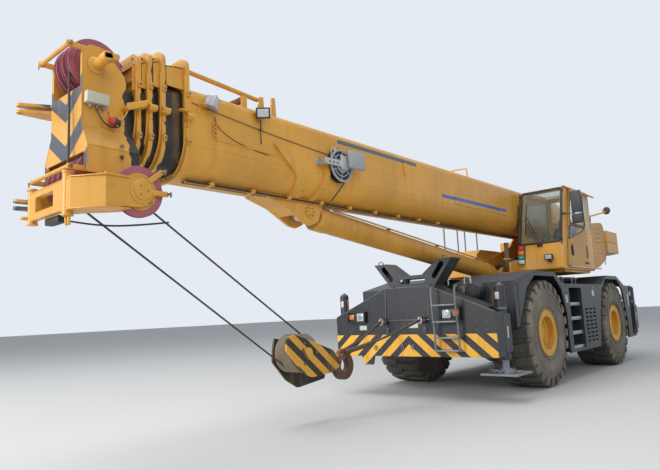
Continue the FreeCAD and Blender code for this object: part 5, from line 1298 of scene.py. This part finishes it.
def ring_pin(finish, place, axis, reach=0.05, radius=0.012):
    """Locking pin with a split ring through its end."""
    place, axis = Vector(place), Vector(axis).normalized()
    end = place + axis * reach
    turned_ring = washer(finish, 0.004, 0.018, 0.026, end + Vector((0, 0, -0.012)), (0.3, 1, 0), steps=20)
    return joined([bar(finish, place, end, radius, 0.002), turned_ring])


parts = [
    block(cream, (0.322, -9.81, 3.52), (0.405, -9.59, 3.63), 0.006),
    turned(head_yellow, [(0.318, 0.05), (0.318, 0.086), (0.33, 0.086), (0.352, 0.056), (0.352, 0.05)],
        (0, -9.69, 3.93), steps=40),
    sheet_metal(head_yellow, [(-9.742, 3.9), (-9.742, 3.96), (-9.6, 3.975), (-9.585, 3.945), (-9.6, 3.915)],
        "x", 0.5, 0.532, 0.006),
    sheet_metal(head_yellow, [(-9.742, 3.9), (-9.742, 3.96), (-9.6, 3.975), (-9.585, 3.945), (-9.6, 3.915)],
        "x", 0.566, 0.6, 0.006),
    bar(head_yellow, (0.5, -9.705, 3.93), (0.6, -9.705, 3.93), 0.05, 0.006),
    pipe(head_yellow, [(0.323, head_front, 3.088), (0.4, head_front, 3.088)], 0.003, curved=False),
    pipe(head_yellow, [(0.4505, head_front, 3.088), (0.4505, -9.305, 3.088)], 0.006, curved=False),
    ring_pin(nut_steel, (0.45, -9.5, 3.125), (1, 0, 0)),
    ring_pin(rust, (0.45, -9.495, 3.02), (1, 0, 0), 0.03, 0.016),
    turned(red_lens, [(-0.045, 0.0), (-0.045, 0.02), (-0.03, 0.036), (-0.01, 0.042), (0.0, 0.042),
        (0.0, 0.0)], (0.4, -9.545, 3.375), (0, 1, 0), steps=32),
    turned(black_plastic, [(0.0, 0.0), (0.0, 0.046), (0.02, 0.046), (0.028, 0.03), (0.06, 0.03),
        (0.06, 0.0)], (0.4, -9.545, 3.375), (0, 1, 0), steps=32),
    block(head_yellow, (0.318, -9.52, 3.335), (0.41, -9.5, 3.36), 0.003),
    pipe(hose_black, [(0.365, -9.7, 3.52), (0.365, -9.7, 3.46), (0.37, -9.64, 3.36), (0.38, -9.56, 3.31),
        (0.395, -9.46, 3.345), (0.4, -9.485, 3.375)], 0.007),
    pipe(machine_yellow, [(0.395, -9.49, 3.385), (0.395, -9.43, 3.44), (0.395, -9.4, 3.52)], 0.008),
    sheet_metal(machine_yellow, [(-9.42, 3.59), (-9.4, 3.52), (-9.18, 3.62), (-9.175, 3.69)], "x", 0.405,
        0.425, 0.006),
    bar(machine_yellow, (0.31, -9.4, 3.55), (0.44, -9.4, 3.55), 0.028, 0.004),
    block(head_yellow, (0.318, -9.56, 3.42), (0.345, -9.48, 3.5), 0.008)]
for y in (-9.76, -9.7, -9.64):
    parts.append(bar(tube_grey, (0.365, y, 3.522), (0.365, y, 3.475), 0.013, 0.003))
for side in (-1, 1):
    parts += [
        ring_pin(nut_steel, (side * 0.325, -9.95, 4.075), (side, 0, 0)),
        bar(head_yellow, (side * 0.326, -9.95, 4.075), (side * 0.3, -9.95, 4.075), 0.032, 0.005),
        ring_pin(rust, (side * 0.43, -9.975, 2.86), (side, 0, 0)),
        block(machine_yellow, (side * 0.395, -9.99, 2.835), (side * 0.424, -9.8, 2.885), 0.006),
        pipe(head_yellow, [(side * 0.324, head_front, 4.05), (side * 0.324, head_front, 3.31),
            (side * 0.453, head_front, 3.09), (side * 0.453, head_front, 2.84)], 0.008, curved=False)]
parts.append(bar(machine_yellow, (-0.4, -9.975, 2.86), (0.4, -9.975, 2.86), 0.02, 0.004))
assembled("head_fittings", parts, "section_5", "boom_paint")

# Head sheaves
# Cast nylon sheaves with deep rope grooves, faded pink by the sun, on steel pins: three at the top and six
# below.
pink = coat("sheave_nylon", (0.42, 0.115, 0.155, 1.0), dust=0.22, rough=0.55, grime=0.55, edges=0.25,
    dust_colour=(0.55, 0.42, 0.42, 1.0))


def sheave(centre_x, y, z, radius, half=0.028, bore=0.05):
    """Grooved nylon wheel: rim, thinner web and hub, turned in one."""
    profile = [(-half, bore), (-half, bore + 0.045), (-half + 0.012, bore + 0.06),
        (-half + 0.012, radius - 0.075), (-half, radius - 0.062), (-half, radius - 0.003),
        (-half + 0.004, radius), (-half + 0.009, radius), (-0.01, radius - 0.036), (0.0, radius - 0.04),
        (0.01, radius - 0.036), (half - 0.009, radius), (half - 0.004, radius), (half, radius - 0.003),
        (half, radius - 0.062), (half - 0.012, radius - 0.075), (half - 0.012, bore + 0.06),
        (half, bore + 0.045), (half, bore)]
    return turned(pink, profile, (centre_x, y, z), steps=72)


top_pin, low_pin = Vector((0.0, -9.61, 4.0)), Vector((0.0, -9.645, 2.83))
parts = [sheave(x, *top_pin.yz, 0.28) for x in (-0.13, 0.0, 0.13)]
parts += [sheave(x, *low_pin.yz, 0.235) for x in (-0.3, -0.18, -0.06, 0.06, 0.18, 0.3)]
parts += [
    bar(rust, (-0.294, *top_pin.yz), (0.294, *top_pin.yz), 0.05, 0.004),
    bar(rust, (-0.424, *low_pin.yz), (0.424, *low_pin.yz), 0.05, 0.004)]
assembled("sheave_rows", parts, "section_5", "sheave_nylon", "head_sheaves")

# Auxiliary nose
# The folded yellow nose pinned under the head carries one more sheave between bolted side plates. Two hinged
# arms with ring pins keep the rope in.
nose_yellow = coat("nose_yellow", crane_yellow, dust=0.14, rough=0.36, grime=0.3, edges=0.5)
give(nose_yellow, "aux_nose")
nose_pin = Vector((0.0, -9.44, 2.645))
nose_tube_y = -9.955
cover = circle_of(nose_pin, 0.048, 3, 0.762)
parts = [
    sheave(0.666, *nose_pin.yz, 0.2425, 0.03, 0.06),
    turned(nose_yellow, [(0.732, 0.0), (0.732, 0.122), (0.74, 0.122), (0.742, 0.1), (0.752, 0.092),
        (0.762, 0.09), (0.762, 0.0)], nose_pin, steps=48),
    bolts(nut_steel, cover, (1, 0, 0), 0.009, 0.008),
    pipe(nose_yellow, [(0.7335, -9.79, 2.66), (0.7335, -9.7, 2.665)], 0.005, curved=False),
    bolts(nut_steel, [(0.732, -9.345, 2.545)], (1, 0, 0), 0.02, 0.012),
    block(nose_yellow, (-0.4, -9.99, 2.742), (0.4, -9.93, 2.752), 0.003)]
flange = [(0.3, -9.992), (0.475, -9.992), (0.756, -9.8), (0.756, -9.56), (0.56, -9.56), (0.3, -9.8)]
for low_z in (2.746, 2.458):
    parts.append(sheet_metal(nose_yellow, flange, "z", low_z, low_z + 0.012))
for start, end in (((-9.37, 2.74), (-9.235, 2.85)), ((-9.345, 2.64), (-9.175, 2.64))):
    run = Vector((0, end[0] - start[0], end[1] - start[1])).normalized()
    across = Vector((0, -run.z, run.y)) * 0.026
    a, b = Vector((0, *start)), Vector((0, *end))
    outline = [a - across, b - across, b + run * 0.02, b + across, a + across]
    for pair in ((0.586, 0.598), (0.734, 0.748)):
        parts.append(sheet_metal(nose_yellow, [place.yz for place in outline], "x", *pair))
    parts += [
        bar(nut_steel, (0.58, *end), (0.762, *end), 0.013, 0.002),
        ring_pin(nut_steel, (0.75, *end), (1, 0, 0))]
for x, low, high in ((-0.42, 2.45, 2.775), (0.36, 2.43, 2.805)):
    parts += [
        turned(nose_yellow, [(0.0, 0.0), (0.0, 0.055), (0.018, 0.055), (0.022, 0.045), (0.022, 0.0)],
            (x, nose_tube_y, high), (0, 0, 1), steps=36),
        turned(nose_yellow, [(0.0, 0.0), (0.0, 0.052), (0.016, 0.052), (0.016, 0.0)],
            (x, nose_tube_y, low - 0.016), (0, 0, 1), steps=36)]
for x in (0.33, 0.385):
    parts.append(bar(nose_yellow, (x, nose_tube_y, 2.42), (x + 0.012, nose_tube_y, 2.33), 0.014, 0.003))
parts += [
    sheet_metal(nose_yellow, [(-9.99, 2.49), (-9.99, 2.52), (-10.045, 2.515), (-10.045, 2.495)], "x", -0.5,
        -0.43, 0.004),
    block(black_plastic, (-0.2, -9.93, 2.4), (0.1, -9.84, 2.47), 0.012),
    pipe(hose_black, [(0.1, -9.88, 2.42), (0.3, -9.7, 2.36), (0.52, -9.45, 2.34), (0.8, -9.2, 2.36)], 0.009)]
assembled("nose_fittings", parts, "section_5", "boom_paint")

# Hoist rope over the boom
# The greased wire rope comes off the upper sheave, dips through the collars' guides and runs back along the
# boom's top to the winch.
parts = [
    pipe(wire_rope, [(0.13, -9.6, 4.255), (0.13, -9.5, 4.225), (0.11, -9.36, 4.15), (0.09, -9.3, 4.11)],
        0.012),
    pipe(wire_rope, [(0.13, -9.855, 4.02), (0.132, -9.866, 3.9), (0.15, -9.862, 3.3), (0.18, -9.88, 2.83)],
        0.012)]
assembled("head_rope", parts, "section_5", "rope")


def laid_rope(start, end, radius, lay=0.15, strands=6):
    """Straight wire rope with its strands twisted round each other."""
    start, end = Vector(start), Vector(end)
    way = end - start
    facing_way = way.to_track_quat("Z", "Y").to_matrix()
    rings = []
    for number in range(round(way.length / 0.02) + 1):
        reach = number * way.length / round(way.length / 0.02)
        loop = []
        for corner in range(2 * strands):
            angle = math.pi * corner / strands + 2 * math.pi * reach / lay
            out = radius * (1.0 if corner % 2 else 0.8)
            loop.append(start + facing_way @ Vector((out * math.cos(angle), out * math.sin(angle), reach)))
        rings.append(loop)
    return lofted(wire_rope, rings)


for index, (front, back, body) in enumerate(((-8.756, 2.3, "boom"), (-9.012, -8.76, "section_2"),
        (-9.145, -9.06, "section_3"), (-9.255, -9.19, "section_4"))):
    parts = [laid_rope((0.06 + 0.01 * index, front, 4.09), (0.06 + 0.01 * index, back, 4.08), 0.013)]
    assembled(f"boom_rope_{index + 1}", parts, body, "rope")

# Lift cylinder
# One long double-acting cylinder: a painted barrel with a bolted gland, a bright rod and hard pipes in
# clamps.
give(machine_yellow, "lift_barrel")
give(bright_rod, "lift_rod")
foot = Vector((0.0, -0.6, 2.105))
lift_way = (Vector((0.0, -6.6, 2.832)) - foot).normalized()
lift_up = Vector((0, -lift_way.z, lift_way.y)) * (1 if lift_way.y > 0 else -1)


def by_lift(x, along, out):
    return foot + lift_way * along + lift_up * out + Vector((x, 0, 0))


parts = [
    turned(machine_yellow, [(5.56, 0.16), (5.56, 0.178), (5.565, 0.181), (5.772, 0.181), (5.784, 0.174),
        (5.784, 0.13), (5.78, 0.124), (5.7, 0.124)], foot, lift_way, steps=64),
    turned(machine_yellow, [(0.55, 0.165), (0.55, 0.182), (0.6, 0.182), (0.6, 0.165)], foot, lift_way,
        steps=64),
    turned(machine_yellow, [(0.82, 0.165), (0.82, 0.182), (0.87, 0.182), (0.87, 0.165)], foot, lift_way,
        steps=64)]
for side in (-1, 1):
    parts.append(pipe(machine_yellow, [by_lift(side * 0.1, 0.7, 0.19), by_lift(side * 0.1, 1.2, 0.175),
        by_lift(side * 0.1, 4.9, 0.175), by_lift(side * 0.09, 5.45, 0.165)], 0.013))
    for along in (1.1, 2.6, 4.1):
        parts.append(bar(nut_steel, by_lift(side * 0.06, along, 0.168), by_lift(side * 0.14, along, 0.155),
            0.016, 0.003))
for angle in (2 * math.pi * number / 12 for number in range(12)):
    place = by_lift(0.15 * math.cos(angle), 5.784, 0.15 * math.sin(angle))
    parts.append(bar(nut_steel, place, place + lift_way * 0.012, 0.01, sides=6))
assembled("barrel_fittings", parts, "lift_barrel", "boom_paint")

# Hook block
# Steel cheeks with yellow and black warning stripes hold the fall sheaves, and a forged hook hangs from its
# crosshead. The rope's grooves have worn it bright and rusty.
cheek_slant, cheek_period, cheek_share = 0.82, 0.23, 0.48


def block_stripes(tree):
    y, z = coordinates(tree)[1:]
    reach = maths(tree, "ADD", z, maths(tree, "MULTIPLY", y, cheek_slant))
    share = maths(tree, "FRACT", maths(tree, "DIVIDE", maths(tree, "ADD", reach, 20.0), cheek_period))
    return maths(tree, "LESS_THAN", share, cheek_share)


def block_inside(tree):
    return between(tree, coordinates(tree)[0], -0.219, 0.1895)


def block_grooves(tree):
    return maths(tree, "LESS_THAN", maths(tree, "ABSOLUTE", coordinates(tree)[0]), 0.1885)


give(coat("block_yellow", (0.7, 0.35, 0.03, 1.0), dust=0.18, rough=0.45, grime=0.5, edges=0.6,
    marks=[((0.016, 0.016, 0.016, 1.0), block_stripes), ((0.02, 0.018, 0.016, 1.0), block_inside),
    ((0.3, 0.25, 0.19, 1.0), block_grooves)]), "hook_block")
give(coat("hook_brown", (0.115, 0.055, 0.025, 1.0), dust=0.3, rough=0.7, grime=0.6, edges=0.3), "hook")
block_pin = Vector((0.0, -6.78, 0.95))
parts = [
    pipe(rust, [(0.2205, -6.89, 1.01), (0.2205, -6.85, 0.95), (0.2205, -6.805, 0.885)], 0.022),
    bar(rust, (-0.075, -5.99, 0.83), (0.075, -5.99, 0.83), 0.045, 0.01),
    washer(rust, 0.03, 0.045, 0.078, (0.0, -5.87, 0.862), (1, 0, 0), steps=32)]
for side in (-1, 1):
    face = side * 0.22
    parts += [
        turned(machine_yellow, [(0.0, 0.0), (0.0, 0.075), (side * 0.014, 0.072), (side * 0.02, 0.055),
            (side * 0.02, 0.0)], (face, *block_pin.yz), steps=40),
        bolts(rust, circle_of(block_pin, 0.15, 3, face), (side, 0, 0), 0.018, 0.016)]
assembled("block_fittings", parts, "hook", "hook")
parts = []
head_radius, block_radius = 0.201, 0.222
way = (block_pin - low_pin).normalized()
square = Vector((0, -way.z, way.y))
for x, turn in ((-0.06, -1), (0.06, 1)):
    start = low_pin + square * turn * head_radius
    end = block_pin + square * turn * block_radius
    parts.append(laid_rope((x, *start.yz), (x, *end.yz), 0.0125))
assembled("falls", parts, "hook", "rope", "hoist_falls")
